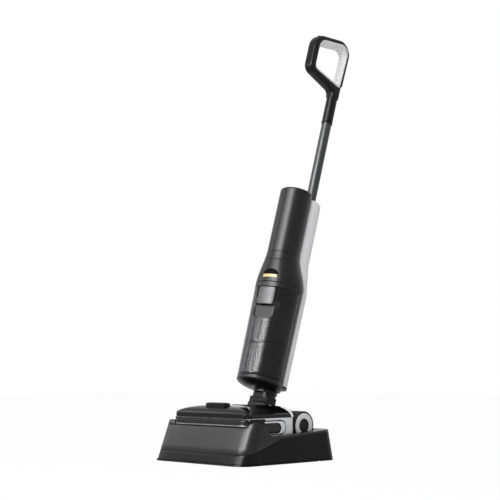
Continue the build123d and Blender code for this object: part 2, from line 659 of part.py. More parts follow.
def belt_outline(grow, x0, x1):
    """The solid wrapped round both pulleys, grown by an amount."""
    big = ROLLER_PULLEY_R + grow
    small = MOTOR_PULLEY_R + grow
    dy = MOTOR_Y - ROLLER_Y
    dz = MOTOR_Z - ROLLER_Z
    reach = math.hypot(dy, dz)
    tilt = math.atan2(dz, dy)
    swing = math.acos((big - small) / reach)
    corners = []
    for sign in (1, -1):
        angle = tilt + sign * swing
        a = (ROLLER_Y + big * math.cos(angle), ROLLER_Z + big * math.sin(angle))
        b = (MOTOR_Y + small * math.cos(angle), MOTOR_Z + small * math.sin(angle))
        corners += [a, b] if sign > 0 else [b, a]
    middle = (x0 + x1) / 2
    web = Pos(middle, 0, 0) * side_prism(corners, (x1 - x0) / 2)
    return web + rod_x(big, x0, x1, ROLLER_Y, ROLLER_Z) + rod_x(small, x0, x1, MOTOR_Y, MOTOR_Z)


def make_drive_belt():
    """Belt from the motor pulley to the roller pulley."""
    x0, x1 = PULLEY_X
    return belt_outline(GAP + BELT_T, x0 + 0.5, x1 - 0.5) - belt_outline(GAP, x0 - 1, x1 + 1)


def make_suction_duct():
    """Duct from the roller chamber back to the neck."""
    y0 = duct_front()
    half = DUCT_HALF_X - DUCT_WALL
    outer = block(-DUCT_HALF_X, DUCT_HALF_X, y0, PIVOT_Y - 14.5, DUCT_Z, DUCT_Z + DUCT_H)
    return outer - block(-half, half, y0 - 1, PIVOT_Y - 13, DUCT_Z + DUCT_WALL, DUCT_Z + DUCT_H - DUCT_WALL)


def make_wheel_axle():
    """Axle through the tongue that carries both rear wheels."""
    return rod_x(SHAFT_R, -WHEEL_OUTER_X + 6, WHEEL_OUTER_X - 6, WHEEL_Y, WHEEL_Z)


def make_wheel_rim(side):
    """Wheel disc with a recessed face and a blind bore."""
    rim = rod_x(WHEEL_R - TYRE_T, WHEEL_INNER_X, WHEEL_OUTER_X, WHEEL_Y, WHEEL_Z)
    rim -= rod_x(HUB_RECESS_R, WHEEL_OUTER_X - 1.5, WHEEL_OUTER_X + 1, WHEEL_Y, WHEEL_Z)
    rim -= rod_x(WHEEL_R - TYRE_T - 5, WHEEL_INNER_X - 1, WHEEL_OUTER_X - 12, WHEEL_Y, WHEEL_Z)
    rim += rod_x(HUB_BOSS_R, WHEEL_INNER_X - 10, WHEEL_OUTER_X - 10, WHEEL_Y, WHEEL_Z)
    rim -= rod_x(SHAFT_R + FIT, WHEEL_INNER_X - 11, WHEEL_OUTER_X - 5.5, WHEEL_Y, WHEEL_Z)
    return rim if side > 0 else mirror(rim, Plane.YZ)


def make_wheel_tyre(side):
    """Rubber tyre with rounded edges."""
    tyre = rod_x(WHEEL_R, WHEEL_INNER_X, WHEEL_OUTER_X, WHEEL_Y, WHEEL_Z)
    tyre = fillet(tyre.edges().filter_by(GeomType.CIRCLE), TYRE_EDGE_R)
    tyre -= rod_x(WHEEL_R - TYRE_T, WHEEL_INNER_X - 1, WHEEL_OUTER_X + 1, WHEEL_Y, WHEEL_Z)
    return tyre if side > 0 else mirror(tyre, Plane.YZ)


def make_roller_core():
    """Roller tube with its end shafts and the driven pulley."""
    x0, x1 = PULLEY_X
    core = rod_x(ROLLER_CORE_R, -ROLLER_HALF_X - 2, ROLLER_HALF_X + 2, ROLLER_Y, ROLLER_Z)
    core -= rod_x(ROLLER_CORE_R - WALL, -ROLLER_HALF_X + 4, ROLLER_HALF_X - 4, ROLLER_Y, ROLLER_Z)
    core += rod_x(SHAFT_R, x1, -ROLLER_HALF_X, ROLLER_Y, ROLLER_Z)
    core += rod_x(SHAFT_R, ROLLER_HALF_X, CHAMBER_HALF_X + 5, ROLLER_Y, ROLLER_Z)
    return core + rod_x(ROLLER_PULLEY_R, x0, x1, ROLLER_Y, ROLLER_Z)


def make_roller_sleeve():
    """Soft pile sleeve on the roller."""
    sleeve = rod_x(ROLLER_R, -ROLLER_HALF_X, ROLLER_HALF_X, ROLLER_Y, ROLLER_Z)
    return sleeve - rod_x(ROLLER_CORE_R, -ROLLER_HALF_X - 1, ROLLER_HALF_X + 1, ROLLER_Y, ROLLER_Z)


# ---- neck ----

def make_neck_yoke():
    """Fork that straddles the ear, with the spigot that the body turns on."""
    fork = rod_x(KNUCKLE_R + 1, -FORK_HALF_X, FORK_HALF_X, 0, 0)
    fork += block(-FORK_HALF_X, FORK_HALF_X, -KNUCKLE_R - 1, KNUCKLE_R + 3, 0, 24)
    fork += slab(2 - FORK_HALF_X, FORK_HALF_X - 2, -KNUCKLE_R - 3, NECK_V + KNUCKLE_R + 4, 14,
                 20, COLLAR_U[0] - GAP)
    fork += rod_x(KNUCKLE_R + 4.5, -FORK_HALF_X, FORK_HALF_X, 0, 0) & block(
        -FORK_HALF_X, FORK_HALF_X, -KNUCKLE_R - 5, KNUCKLE_R - 4, -3, KNUCKLE_R + 5)
    room = EAR_HALF_X + 0.5
    fork -= rod_x(KNUCKLE_R + 1.5, -room, room, 0, 0)
    fork -= block(-room, room, -KNUCKLE_R - 1.5, KNUCKLE_R + 10, -KNUCKLE_R - 5, 0)
    fork -= block(-room, room, KNUCKLE_R - 4, KNUCKLE_R + 10, -KNUCKLE_R, KNUCKLE_R + 1)
    spigot = Pos(0, NECK_V, COLLAR_U[0] - 2) * drum(SPIGOT_R, SPIGOT_TOP_U - COLLAR_U[0] + 2)
    spigot -= Pos(0, NECK_V, COLLAR_U[0] + 4) * drum(SPIGOT_R - SPIGOT_WALL, SPIGOT_TOP_U)
    fork += spigot
    return fork - rod_x(PIN_R + FIT, -FORK_HALF_X - 1, FORK_HALF_X + 1, 0, 0)


def make_neck_pin():
    """Bright pivot pin with a domed head at each end."""
    pin = rod_x(PIN_R, -FORK_HALF_X - 0.2, FORK_HALF_X + 0.2, 0, 0)
    for side in (-1, 1):
        x0 = side * (FORK_HALF_X + 0.2)
        x1 = side * (FORK_HALF_X + 0.2 + PIN_HEAD_T)
        pin += rod_x(PIN_R + 1, min(x0, x1), max(x0, x1), 0, 0)
    return pin


# ---- upright body ----

def smooth(t):
    """A curve from 0 to 1 with level ends."""
    return t * t * (3 - 2 * t)


def skin_at(u):
    """Centre v and radius of the body's outer skin at a height."""
    if u >= FLARE_TOP_U:
        return COLUMN
    if u <= TANK_TOP_U:
        t = (u - CUP_TOP_U) / (TANK_TOP_U - CUP_TOP_U)
        return CUP[0] + t * (TANK[0] - CUP[0]), CUP[1] + t * (TANK[1] - CUP[1])
    t = smooth((u - TANK_TOP_U) / (FLARE_TOP_U - TANK_TOP_U))
    return TANK[0] + t * (COLUMN[0] - TANK[0]), TANK[1] + t * (COLUMN[1] - TANK[1])


def ring_at(u, inset):
    """The skin's circle at a height, drawn in by an inset."""
    v, radius = skin_at(u)
    return Pos(0, v, u) * Circle(radius - inset)


def skin(u0, u1, inset=0.0):
    """Solid of the body's outer skin between two heights."""
    if u0 >= FLARE_TOP_U or u1 <= TANK_TOP_U:
        return loft([ring_at(u0, inset), ring_at(u1, inset)], ruled=True)
    stations = [u0 + (u1 - u0) * i / FLARE_STEPS for i in range(FLARE_STEPS + 1)]
    return loft([ring_at(u, inset) for u in stations])


def flat_backed(shape, v=BACK_V):
    """Cut a shape off flat at the back."""
    return shape & block(-FAR, FAR, -FAR, v, -50, 1200)


def shell(u0, u1, wall=WALL):
    """Open-ended flat-backed tube of the body between two heights."""
    outer = flat_backed(skin(u0, u1))
    return outer - flat_backed(skin(u0, u1, wall), BACK_V - wall)


def make_motor_housing():
    """Upper column: closed round housing with the pole's socket on its back."""
    u0 = WAIST_TOP_U + GAP
    v, radius = COLUMN
    outer = Pos(0, v, FLARE_TOP_U) * drum(radius, BODY_TOP_U - FLARE_TOP_U)
    outer = fillet(edges_at(outer, "Z", BODY_TOP_U), TOP_ROUND_R) + skin(u0, FLARE_TOP_U)
    lower, upper = SOCKET_U
    boss = Pos(0, POLE_V, lower) * drum(POLE_R + SOCKET_WALL, upper - lower)
    half = POLE_R + SOCKET_WALL
    boss += block(-half, half, v + radius - 6, POLE_V, lower, upper)
    inner = Pos(0, v, u0 - 1) * drum(radius - WALL, BODY_TOP_U - WALL - u0 - 3)
    housing = outer + boss - inner
    return housing - Pos(0, POLE_V, lower + 5) * drum(POLE_R + FIT, upper)


def make_waist_ring():
    """Narrow band between the column and the shoulder."""
    return shell(SHOULDER_TOP_U + GAP, WAIST_TOP_U)


def turned_front(shape):
    """Carry a shape round the tank's own axis, to where the latch and the window sit."""
    v = TANK[0]
    return Pos(0, v, 0) * Rot(0, 0, FRONT_TURN) * Pos(0, -v, 0) * shape


def window_prism(u0, u1, half, arch):
    """Prism through the front of the shoulder; its top is an arch where asked."""
    body = block(-half, half, -120, TANK[0], u0, u1)
    if arch:
        body = block(-half, half, -120, TANK[0], u0, u0 + 2)
        body += rod_y(half, -120, TANK[0], 0, u0 + 2) & block(-half, half, -120, TANK[0], u0, u1)
    return turned_front(body)


def front_inlay(prism, proud, depth):
    """A curved piece of the shoulder's skin, cut out by a prism."""
    u0 = TANK_TOP_U + GAP
    return (skin(u0, SHOULDER_TOP_U, proud) - skin(u0, SHOULDER_TOP_U, depth)) & prism


def make_shoulder_shell():
    """Flared shoulder with the opening for the light window."""
    body = shell(TANK_TOP_U + GAP, SHOULDER_TOP_U)
    u0 = TANK_TOP_U + GAP
    seat = skin(u0, SHOULDER_TOP_U, -1) - skin(u0, SHOULDER_TOP_U, INLAY_DEEP + 0.1)
    body -= window_prism(BAR_U[1], WINDOW_TOP_U, WINDOW_HALF_X, True) & seat
    body -= window_prism(BAR_U[0], BAR_U[1], WINDOW_HALF_X - 2, False) & seat
    ledge = flat_backed(skin(u0, SHOULDER_TOP_U, 0.5), BACK_V - 0.5)
    ledge &= block(-FAR, FAR, -FAR, FAR, u0, u0 + 3)
    v, radius = TANK
    return body + (ledge - Pos(0, v, TANK_TOP_U) * drum(radius - 22, 20))


def make_display_window():
    """Dark arched window above the light bar."""
    arch = window_prism(BAR_U[1] + 0.1, WINDOW_TOP_U - 0.1, WINDOW_HALF_X - 0.1, True)
    return front_inlay(arch, 0.4, INLAY_DEEP)


def make_light_bar():
    """Amber light bar."""
    strip = window_prism(BAR_U[0] + 0.1, BAR_U[1] - 0.1, WINDOW_HALF_X - 2.1, False)
    return front_inlay(strip, 0.2, INLAY_DEEP)


def make_rear_frame():
    """Dark frame behind the dirty tank, closed all round."""
    u0 = CUP_TOP_U + GAP
    body = flat_backed(skin(u0, TANK_TOP_U)) & block(-FAR, FAR, SPLIT_V + GAP, FAR, 0, 900)
    inner = flat_backed(skin(u0, TANK_TOP_U, WALL), BACK_V - WALL)
    inner &= block(-FAR, FAR, SPLIT_V + GAP + WALL, FAR, u0 + WALL, TANK_TOP_U - WALL)
    return body - inner


def make_base_cup():
    """Rounded cup under the tanks, with the collar that turns on the neck."""
    v, radius = CUP
    rim_u = CUP_TOP_U - RIM_H
    rim = loft([Pos(0, v, rim_u) * Circle(radius), ring_at(CUP_TOP_U, 0)], ruled=True)
    bowl = loft([Pos(0, NECK_V, COLLAR_U[0] + 4) * Circle(COLLAR_R + 4),
                 Pos(0, v + 9, COLLAR_U[0] + 9) * Circle(radius - 13),
                 Pos(0, v, rim_u) * Circle(radius)])
    cup = flat_backed(rim + bowl) + Pos(0, NECK_V, COLLAR_U[0]) * drum(COLLAR_R, COLLAR_U[1] - COLLAR_U[0])
    cup -= Pos(0, v, rim_u - 1) * drum(radius - 6, 30) & block(-FAR, FAR, -FAR, BACK_V - 4, 0, FAR)
    return cup - Pos(0, NECK_V, COLLAR_U[0] - 1) * drum(SPIGOT_R + FIT, 60)


def make_suction_motor():
    """Suction motor and fan in the column."""
    v, radius = COLUMN
    seat_r = radius - WALL - GAP
    body = Pos(0, v, WAIST_TOP_U + 4) * drum(seat_r, 22)
    body += Pos(0, v, WAIST_TOP_U + 26) * drum(seat_r - 8, 38)
    return body - Pos(0, v, WAIST_TOP_U + 3) * drum(12, 10)


def make_battery_pack():
    """Battery: seven round cells in a holder disc."""
    v, radius = COLUMN
    u0 = WAIST_TOP_U + 72
    pack = Pos(0, v, u0) * drum(radius - WALL - GAP, 4)
    for index in range(7):
        angle = math.radians(60 * index)
        reach = 0 if index == 6 else 2 * CELL_R + 2
        pack += Pos(reach * math.cos(angle), v + reach * math.sin(angle), u0 + 4) * drum(CELL_R, CELL_H)
    return pack


def make_exhaust_filter():
    """Pleated filter above the dirty tank."""
    v, radius = TANK
    u0 = TANK_TOP_U + GAP + 3
    ring = Pos(0, v, u0) * drum(radius - 18, FILTER_H)
    ring -= Pos(0, v, u0 - 1) * drum(radius - 26, FILTER_H + 2)
    for index in range(FILTER_FOLDS):
        turn = Rot(0, 0, 360 * index / FILTER_FOLDS)
        ring -= Pos(0, v, u0 + FILTER_H / 2) * turn * Pos(radius - 18, 0, 0) * Cylinder(1.6, FILTER_H - 4)
    return ring


def make_water_pump():
    """Clean-water pump on the floor of the rear frame."""
    u0 = CUP_TOP_U + GAP + WALL
    pump = Pos(-14, 12, u0) * drum(9, 30)
    pump += block(-14, 12, 6, 18, u0, u0 + 14)
    return pump + Pos(12, 12, u0) * drum(3, 22)


def make_control_board():
    """Control board on the frame's back wall."""
    v1 = BACK_V - WALL
    board = block(-30, 30, v1 - 4.6, v1 - 3, 150, 260)
    for x in (-24, 24):
        for u in (158, 252):
            board += rod_y(2.5, v1 - 4, v1, x, u)
    board += block(-16, 4, v1 - 8.6, v1 - 4.6, 176, 196)
    return board + block(-12, 12, v1 - 9.6, v1 - 4.6, 214, 236)


# ---- dirty-water tank ----

def latch_recess(grow):
    """The recess in the tank's front for the latch and the finger scoop."""
    half = LATCH_HALF_X + LATCH_SLOT + grow
    low = SCOOP_BOTTOM_U - grow
    corner = SCOOP_CORNER_R + grow
    recess = block(-half, half, -120, SCOOP_V + grow, low + corner, LATCH_U[1] + 1.5 + grow)
    foot = Pos(0, SCOOP_V + grow, low + corner) * Plane.XZ * RectangleRounded(2 * half, 2 * corner, corner - 0.01)
    return turned_front(recess + extrude(foot, amount=120 + SCOOP_V + grow))


def ahead_of(v, u0=0.0):
    """Everything in front of a plane across the body, above a height."""
    return block(-FAR, FAR, -FAR, v, u0, 900)


def make_dirty_tank_shell():
    """Clear tank, open at the top, recessed in front for the latch."""
    u0 = CUP_TOP_U + GAP
    u1 = TANK_TOP_U - LID_H
    outer = skin(u0, u1) & ahead_of(SPLIT_V)
    inner = skin(u0, u1, WALL) & ahead_of(SPLIT_V - WALL, u0 + WALL)
    body = outer - (inner - latch_recess(WALL))
    return body - latch_recess(0) - inlet_bore()


def inlet_bore():
    """Hole in the tank's floor for the inlet tube."""
    return Pos(0, INLET_TUBE_V, CUP_TOP_U - 5) * drum(INLET_TUBE_R - INLET_TUBE_WALL, 12)


def make_tank_inlet_tube():
    """Tube that carries the dirty water to the top of the tank."""
    u0 = CUP_TOP_U + GAP + WALL
    tube = Pos(0, INLET_TUBE_V, u0) * drum(INLET_TUBE_R, INLET_TUBE_L)
    return tube - Pos(0, INLET_TUBE_V, u0 - 1) * drum(INLET_TUBE_R - INLET_TUBE_WALL, INLET_TUBE_L + 2)


def make_tank_seal():
    """Rubber seal between the tank and its lid."""
    u1 = TANK_TOP_U - LID_H
    outer = skin(u1 - 4, u1, WALL + 0.2) & ahead_of(SPLIT_V - WALL - 0.2)
    inner = skin(u1 - 4, u1, WALL + 3) & ahead_of(SPLIT_V - WALL - 3)
    return outer - inner - latch_recess(WALL + 0.2)


def make_dirty_tank_lid():
    """Lid with a hollow under it and the guide cage of the float."""
    u0 = TANK_TOP_U - LID_H
    lid = skin(u0, TANK_TOP_U - GAP) & ahead_of(SPLIT_V)
    hollow = skin(u0 - 1, TANK_TOP_U - GAP - WALL, WALL + 1)
    hollow &= block(-FAR, FAR, -FAR, SPLIT_V - WALL, 0, TANK_TOP_U - 5)
    lid -= hollow - latch_recess(WALL)
    lid -= latch_recess(0)
    for x in (-FLOAT_R - 2.5, FLOAT_R + 2.5):
        lid += Pos(x, FLOAT_V, FLOAT_U - 8) * drum(1.5, TANK_TOP_U - 3 - FLOAT_U + 8)
    foot = Pos(0, FLOAT_V, FLOAT_U - 8) * drum(FLOAT_R + 5, 2)
    return lid + foot - Pos(0, FLOAT_V, FLOAT_U - 9) * drum(FLOAT_R - 3, 4)


def make_tank_float():
    """Float that rises and shuts the air path when the tank is full."""
    return Pos(0, FLOAT_V, FLOAT_U - 6 + 0.2) * drum(FLOAT_R, FLOAT_H)


def make_tank_strainer():
    """Strainer basket plate across the tank, round the inlet tube."""
    u0 = STRAINER_U
    plate = skin(u0, u0 + STRAINER_T, WALL + 0.4) & ahead_of(SPLIT_V - WALL - 0.4)
    plate -= Pos(0, INLET_TUBE_V, u0 - 1) * drum(INLET_TUBE_R + 0.4, 6)
    for ring_r, count in STRAINER_HOLES:
        for index in range(count):
            angle = 2 * math.pi * (index + 0.5) / count
            x = ring_r * math.cos(angle)
            v = INLET_TUBE_V + ring_r * math.sin(angle)
            if v < SPLIT_V - 8 and math.hypot(x, v - CUP[0]) < CUP[1] - 8:
                plate -= Pos(x, v, u0 - 1) * drum(3, 6)
    return plate


def make_tank_latch():
    """Press latch on the tank's front, curved like the tank."""
    u0, u1 = LATCH_U
    back = SCOOP_V - LATCH_TRAVEL - GAP
    plate = turned_front(block(-LATCH_HALF_X, LATCH_HALF_X, -120, back, u0, u1))
    half = LATCH_HALF_X + LATCH_SLOT - GAP
    flange = turned_front(block(-half, half, back - 1.5, back, u0 + 4, u1 - 4))
    return (skin(u0, u1, -0.3) & plate) + flange


# ---- clean-water tank ----

def clean_plan(section, inset):
    """Cross-section of the clean tank at one height."""
    u, half, back, corner = section
    depth = back - CLEAN_FRONT_V
    return Pos(0, (back + CLEAN_FRONT_V) / 2, u) * RectangleRounded(
        2 * (half - inset), depth - 2 * inset, corner - inset)


def clean_solid(inset):
    """Lofted outside of the clean tank, or its inside when drawn in."""
    sections = [list(s) for s in CLEAN_SECTIONS]
    sections[0][0] += inset
    sections[-1][0] -= inset
    lower = loft([clean_plan(s, inset) for s in sections[:2]], ruled=True)
    middle = loft([clean_plan(s, inset) for s in sections[1:3]], ruled=True)
    upper = loft([clean_plan(s, inset) for s in sections[2:]], ruled=True)
    upper = fillet(edges_at(upper, "Z", sections[-1][0]), CLEAN_TOP_ROUND - inset)
    return lower + middle + upper


def body_room(clear):
    """The dark body and the pole's socket, grown by a clearance."""
    room = flat_backed(skin(CUP_TOP_U - 20, TANK_TOP_U, -clear), BACK_V + clear)
    room += flat_backed(skin(TANK_TOP_U, FLARE_TOP_U, -clear), BACK_V + clear)
    v, radius = COLUMN
    room += Pos(0, v, FLARE_TOP_U) * drum(radius + clear, 300)
    half = POLE_R + SOCKET_WALL + clear
    room += block(-half, half, v, POLE_V, SOCKET_U[0] - clear, 700)
    return room + Pos(0, POLE_V, SOCKET_U[0] - clear) * drum(half, 300)


def make_clean_tank_shell():
    """Light-coloured clean-water tank on the back of the body."""
    outer = clean_solid(0) - body_room(GAP + 0.1)
    inner = clean_solid(CLEAN_WALL) - body_room(GAP + 0.1 + CLEAN_WALL)
    tank = outer - inner
    neck = rod_y(CLEAN_CAP_R - 4, CLEAN_SECTIONS[0][2] - 4, CLEAN_SECTIONS[0][2] + 1, 0, CLEAN_CAP_U)
    seat = rod_y(CLEAN_CAP_R + GAP, CLEAN_SECTIONS[0][2] - 1.2, CLEAN_SECTIONS[0][2] + 1, 0, CLEAN_CAP_U)
    return tank - neck - seat


def make_clean_tank_cap():
    """Filler cap on the clean tank's back."""
    back = CLEAN_SECTIONS[0][2]
    cap = rod_y(CLEAN_CAP_R, back - 1.1, back + 1.6, 0, CLEAN_CAP_U)
    cap += rod_y(CLEAN_CAP_R - 4.2, back - 4, back - 1.1, 0, CLEAN_CAP_U)
    half = CLEAN_CAP_R - 5
    return cap + block(-half, half, back, back + 4, CLEAN_CAP_U - 1.5, CLEAN_CAP_U + 1.5)


# ---- pole and handle ----

def make_pole():
    """Pole from the socket up into the handle."""
    u0 = SOCKET_U[0] + 5
    pole = Pos(0, POLE_V, u0) * drum(POLE_R, POLE_TOP_U - u0)
    return pole - Pos(0, POLE_V, u0 - 1) * drum(POLE_R - POLE_WALL, POLE_TOP_U)


def make_pole_ring():
    """Ring with its release nub where the pole enters the handle."""
    u0, u1 = POLE_RING_U
    ring = Pos(0, POLE_V, u0) * drum(POLE_R + 2, u1 - u0)
    ring += block(-3, 3, POLE_V - POLE_R - 4, POLE_V - POLE_R + 1, u0, u1)
    return ring - Pos(0, POLE_V, u0 - 1) * drum(POLE_R + FIT, 20)


def side_outline(points, radii, half_x):
    """A polygon with rounded corners in the YZ plane, extruded along X."""
    wire = FilletPolyline(*points, radius=radii, close=True)
    return extrude(Plane.YZ * make_face(wire), amount=half_x, both=True)


def loop_outer(half_x):
    """Outline of the handle loop and its neck."""
    neck_front = POLE_V - POLE_R
    points = [(neck_front, LOOP_NECK_U), (neck_front - 0.5, 891.0), (GRIP_FRONT_V, 906.0), GRIP_TOP, LOOP_BACK,
              (POLE_V + POLE_R + 0.6, 915.0), (POLE_V + POLE_R, LOOP_NECK_U)]
    return side_outline(points, [1.0, 14.0, 22.0, LOOP_CORNER_R, 30.0, 20.0, 1.0], half_x)


def loop_inner(half_x):
    """Opening of the black handle shell, before the liner fills its rim."""
    points = [(33.0, 901.0), (-78.0, 913.0), (-78.0, 1000.0), (38.0, 1036.0)]
    return side_outline(points, [13.0, 13.0, 30.0, 26.0], half_x)


def loop_hole(half_x):
    """The finger opening inside the liner."""
    points = [(26.0, 908.0), (-76.0, 918.0), (-76.0, 987.0), (29.0, 1019.0)]
    return side_outline(points, [10.0, 12.0, 26.0, 18.0], half_x)


def corner_centre():
    """Centre of the arc at the grip's upper front corner."""
    dv = LOOP_BACK[0] - GRIP_TOP[0]
    du = LOOP_BACK[1] - GRIP_TOP[1]
    length = math.hypot(dv, du)
    lift = (-LOOP_CORNER_R + LOOP_CORNER_R * du / length) * length / dv
    return GRIP_TOP[0] + LOOP_CORNER_R, GRIP_TOP[1] + lift


def button_at(angle, radius, inner, outer):
    """A stub cylinder on the corner arc, along the arc's own radius."""
    v, u = corner_centre()
    middle = LOOP_CORNER_R + (inner + outer) / 2
    a = math.radians(angle)
    return (Pos(0, v + middle * math.cos(a), u + middle * math.sin(a)) * Rot(angle - 90, 0, 0)
            * Cylinder(radius, outer - inner))


def make_handle_shell():
    """Black handle: loop band, thick front grip and neck sleeve."""
    band = loop_outer(HANDLE_HALF_X)
    outer_edges = [e for e in band.edges() if abs(abs(e.center().X) - HANDLE_HALF_X) < 0.1]
    band = fillet(outer_edges, HANDLE_EDGE_R)
    band -= loop_inner(HANDLE_HALF_X + 2)
    band += Pos(0, POLE_V, POLE_RING_U[1] + 0.1) * drum(POLE_R + SLEEVE_WALL, LOOP_NECK_U + 12 - POLE_RING_U[1])
    band -= Pos(0, POLE_V, POLE_RING_U[1] - 5) * drum(POLE_R + FIT, POLE_TOP_U - POLE_RING_U[1] + 5.2)
    for angle in BUTTON_ANGLES:
        band -= button_at(angle, BUTTON_R + GAP, -BUTTON_DEEP, 2)
    return band


def make_handle_liner():
    """Light-coloured liner inside the loop."""
    return loop_inner(HANDLE_HALF_X - 1) - loop_hole(HANDLE_HALF_X + 1)


def make_button(angle):
    """Push button on the grip's upper corner."""
    return button_at(angle, BUTTON_R, BUTTON_TRAVEL + GAP - BUTTON_DEEP, BUTTON_PROUD)


# ---- assembly ----

def build_parts():
    """Every node of the object by name, in the floor frame."""
    body = dock_body()
    parts = {
        "dock_base": make_dock_base(body),
        "dock_front_cover": make_dock_front_cover(body),
        "dock_tray": make_dock_tray(),
        "dock_bottom_plate": make_dock_bottom_plate(),
        "dock_pads": make_dock_pads(),
        "dock_contacts": make_dock_contacts(),
        "dock_power_inlet": make_dock_power_inlet(),
        "dock_screws": make_dock_screws(),
        "head_chassis": make_head_chassis(),
        "head_deck": make_head_deck(),
        "neck_shroud": make_neck_shroud(),
        "front_bumper": make_front_bumper(),
        "side_cap_left": make_side_cap(-1),
        "side_cap_right": make_side_cap(1),
        "brush_motor": make_brush_motor(),
        "motor_pulley": make_motor_pulley(),
        "drive_belt": make_drive_belt(),
        "suction_duct": make_suction_duct(),
        "spray_bar": make_spray_bar(),
        "scraper_blade": make_scraper_blade(),
        "wheel_axle": make_wheel_axle(),
        "head_screws": make_head_screws(),
        "roller_hood": make_hood(),
        "hood_latch": make_hood_latch(),
        "roller_core": make_roller_core(),
        "roller_sleeve": make_roller_sleeve(),
        "wheel_rim_left": make_wheel_rim(-1),
        "wheel_rim_right": make_wheel_rim(1),
        "wheel_tyre_left": make_wheel_tyre(-1),
        "wheel_tyre_right": make_wheel_tyre(1),
    }
    leaning = {
        "neck_yoke": make_neck_yoke(),
        "neck_pin": make_neck_pin(),
        "base_cup": make_base_cup(),
        "rear_frame": make_rear_frame(),
        "shoulder_shell": make_shoulder_shell(),
        "waist_ring": make_waist_ring(),
        "motor_housing": make_motor_housing(),
        "display_window": make_display_window(),
        "light_bar": make_light_bar(),
        "suction_motor": make_suction_motor(),
        "battery_pack": make_battery_pack(),
        "exhaust_filter": make_exhaust_filter(),
        "water_pump": make_water_pump(),
        "control_board": make_control_board(),
        "dirty_tank_shell": make_dirty_tank_shell(),
        "dirty_tank_lid": make_dirty_tank_lid(),
        "tank_inlet_tube": make_tank_inlet_tube(),
        "tank_seal": make_tank_seal(),
        "tank_strainer": make_tank_strainer(),
        "tank_float": make_tank_float(),
        "tank_latch": make_tank_latch(),
        "clean_tank_shell": make_clean_tank_shell(),
        "clean_tank_cap": make_clean_tank_cap(),
        "pole": make_pole(),
        "pole_ring": make_pole_ring(),
        "handle_shell": make_handle_shell(),
        "handle_liner": make_handle_liner(),
        "power_button": make_button(BUTTON_ANGLES[0]),
        "mode_button": make_button(BUTTON_ANGLES[1]),
    }
    for name, shape in leaning.items():
        parts[name] = upright(shape)
    return parts


def main():
    """Write one STEP file per node."""
    os.makedirs("parts", exist_ok=True)
    for name, shape in build_parts().items():
        export_step(shape, os.path.join("parts", name + ".step"))


main()
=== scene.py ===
"""Looks of a wet and dry floor scrubber that stands in its self-cleaning dock.

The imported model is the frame. Each sub-assembly is a class that holds its sizes in millimetres and
builds its pieces as surfaces worked out with numpy; each finish is a small frozen dataclass.
Upright pieces are drawn in the leaning frame: x across, v from front to back, u up the leaning axis.
"""

import json
import logging
import math
from collections.abc import Callable
from dataclasses import dataclass
from enum import Enum

import bpy
import numpy as np
from mathutils import Euler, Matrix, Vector


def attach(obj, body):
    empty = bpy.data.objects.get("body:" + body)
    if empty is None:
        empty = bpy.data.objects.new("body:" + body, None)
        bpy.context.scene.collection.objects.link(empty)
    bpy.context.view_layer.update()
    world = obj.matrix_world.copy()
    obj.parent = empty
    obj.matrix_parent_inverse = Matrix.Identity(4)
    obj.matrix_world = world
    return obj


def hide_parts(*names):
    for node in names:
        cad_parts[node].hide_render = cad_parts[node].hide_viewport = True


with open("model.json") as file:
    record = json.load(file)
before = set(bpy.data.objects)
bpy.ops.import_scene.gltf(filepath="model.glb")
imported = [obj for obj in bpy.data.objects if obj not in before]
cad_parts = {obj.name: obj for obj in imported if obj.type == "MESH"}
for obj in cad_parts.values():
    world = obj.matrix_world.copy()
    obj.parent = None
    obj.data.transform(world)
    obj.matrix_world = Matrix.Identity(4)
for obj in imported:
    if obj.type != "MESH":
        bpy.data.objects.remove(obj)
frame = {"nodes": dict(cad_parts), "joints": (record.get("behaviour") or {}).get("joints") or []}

LOG = logging.getLogger("scrubber")
Array = np.ndarray
MM = 0.001
TURN = 2 * math.pi
SIDES = {1: "right", -1: "left"}


# ---- surfaces ----

@dataclass
class Shape:
    """A closed surface in millimetres: points, four-sided faces, flat end faces and finish numbers."""

    points: Array
    quads: Array
    ends: list
    quad_finish: Array
    end_finish: list

    def volume(self) -> float:
        """Signed volume: the sum of p0 . (p1 x p2) / 6 over the triangles of every face."""
        q = self.quads
        triangles = [q[:, [0, 1, 2]], q[:, [0, 2, 3]]]
        for end in self.ends:
            triangles.append(np.stack([np.full(len(end) - 2, end[0]), end[1:-1], end[2:]], -1))
        t = self.points[np.concatenate(triangles)]
        return float(np.einsum("ij,ij->i", t[:, 0], np.cross(t[:, 1], t[:, 2])).sum() / 6)

    def outward(self) -> "Shape":
        """The same shape with its faces pointing outwards."""
        if self.volume() < 0:
            self.quads = self.quads[:, ::-1]
            self.ends = [end[::-1] for end in self.ends]
        return self


def joined(shapes: list) -> Shape:
    """One shape whose faces are those of several closed ones."""
    offsets = np.cumsum([0] + [len(s.points) for s in shapes[:-1]])
    return Shape(np.concatenate([s.points for s in shapes]),
                 np.concatenate([s.quads + o for s, o in zip(shapes, offsets)]),
                 [end + o for s, o in zip(shapes, offsets) for end in s.ends],
                 np.concatenate([s.quad_finish for s in shapes]),
                 [n for s in shapes for n in s.end_finish])


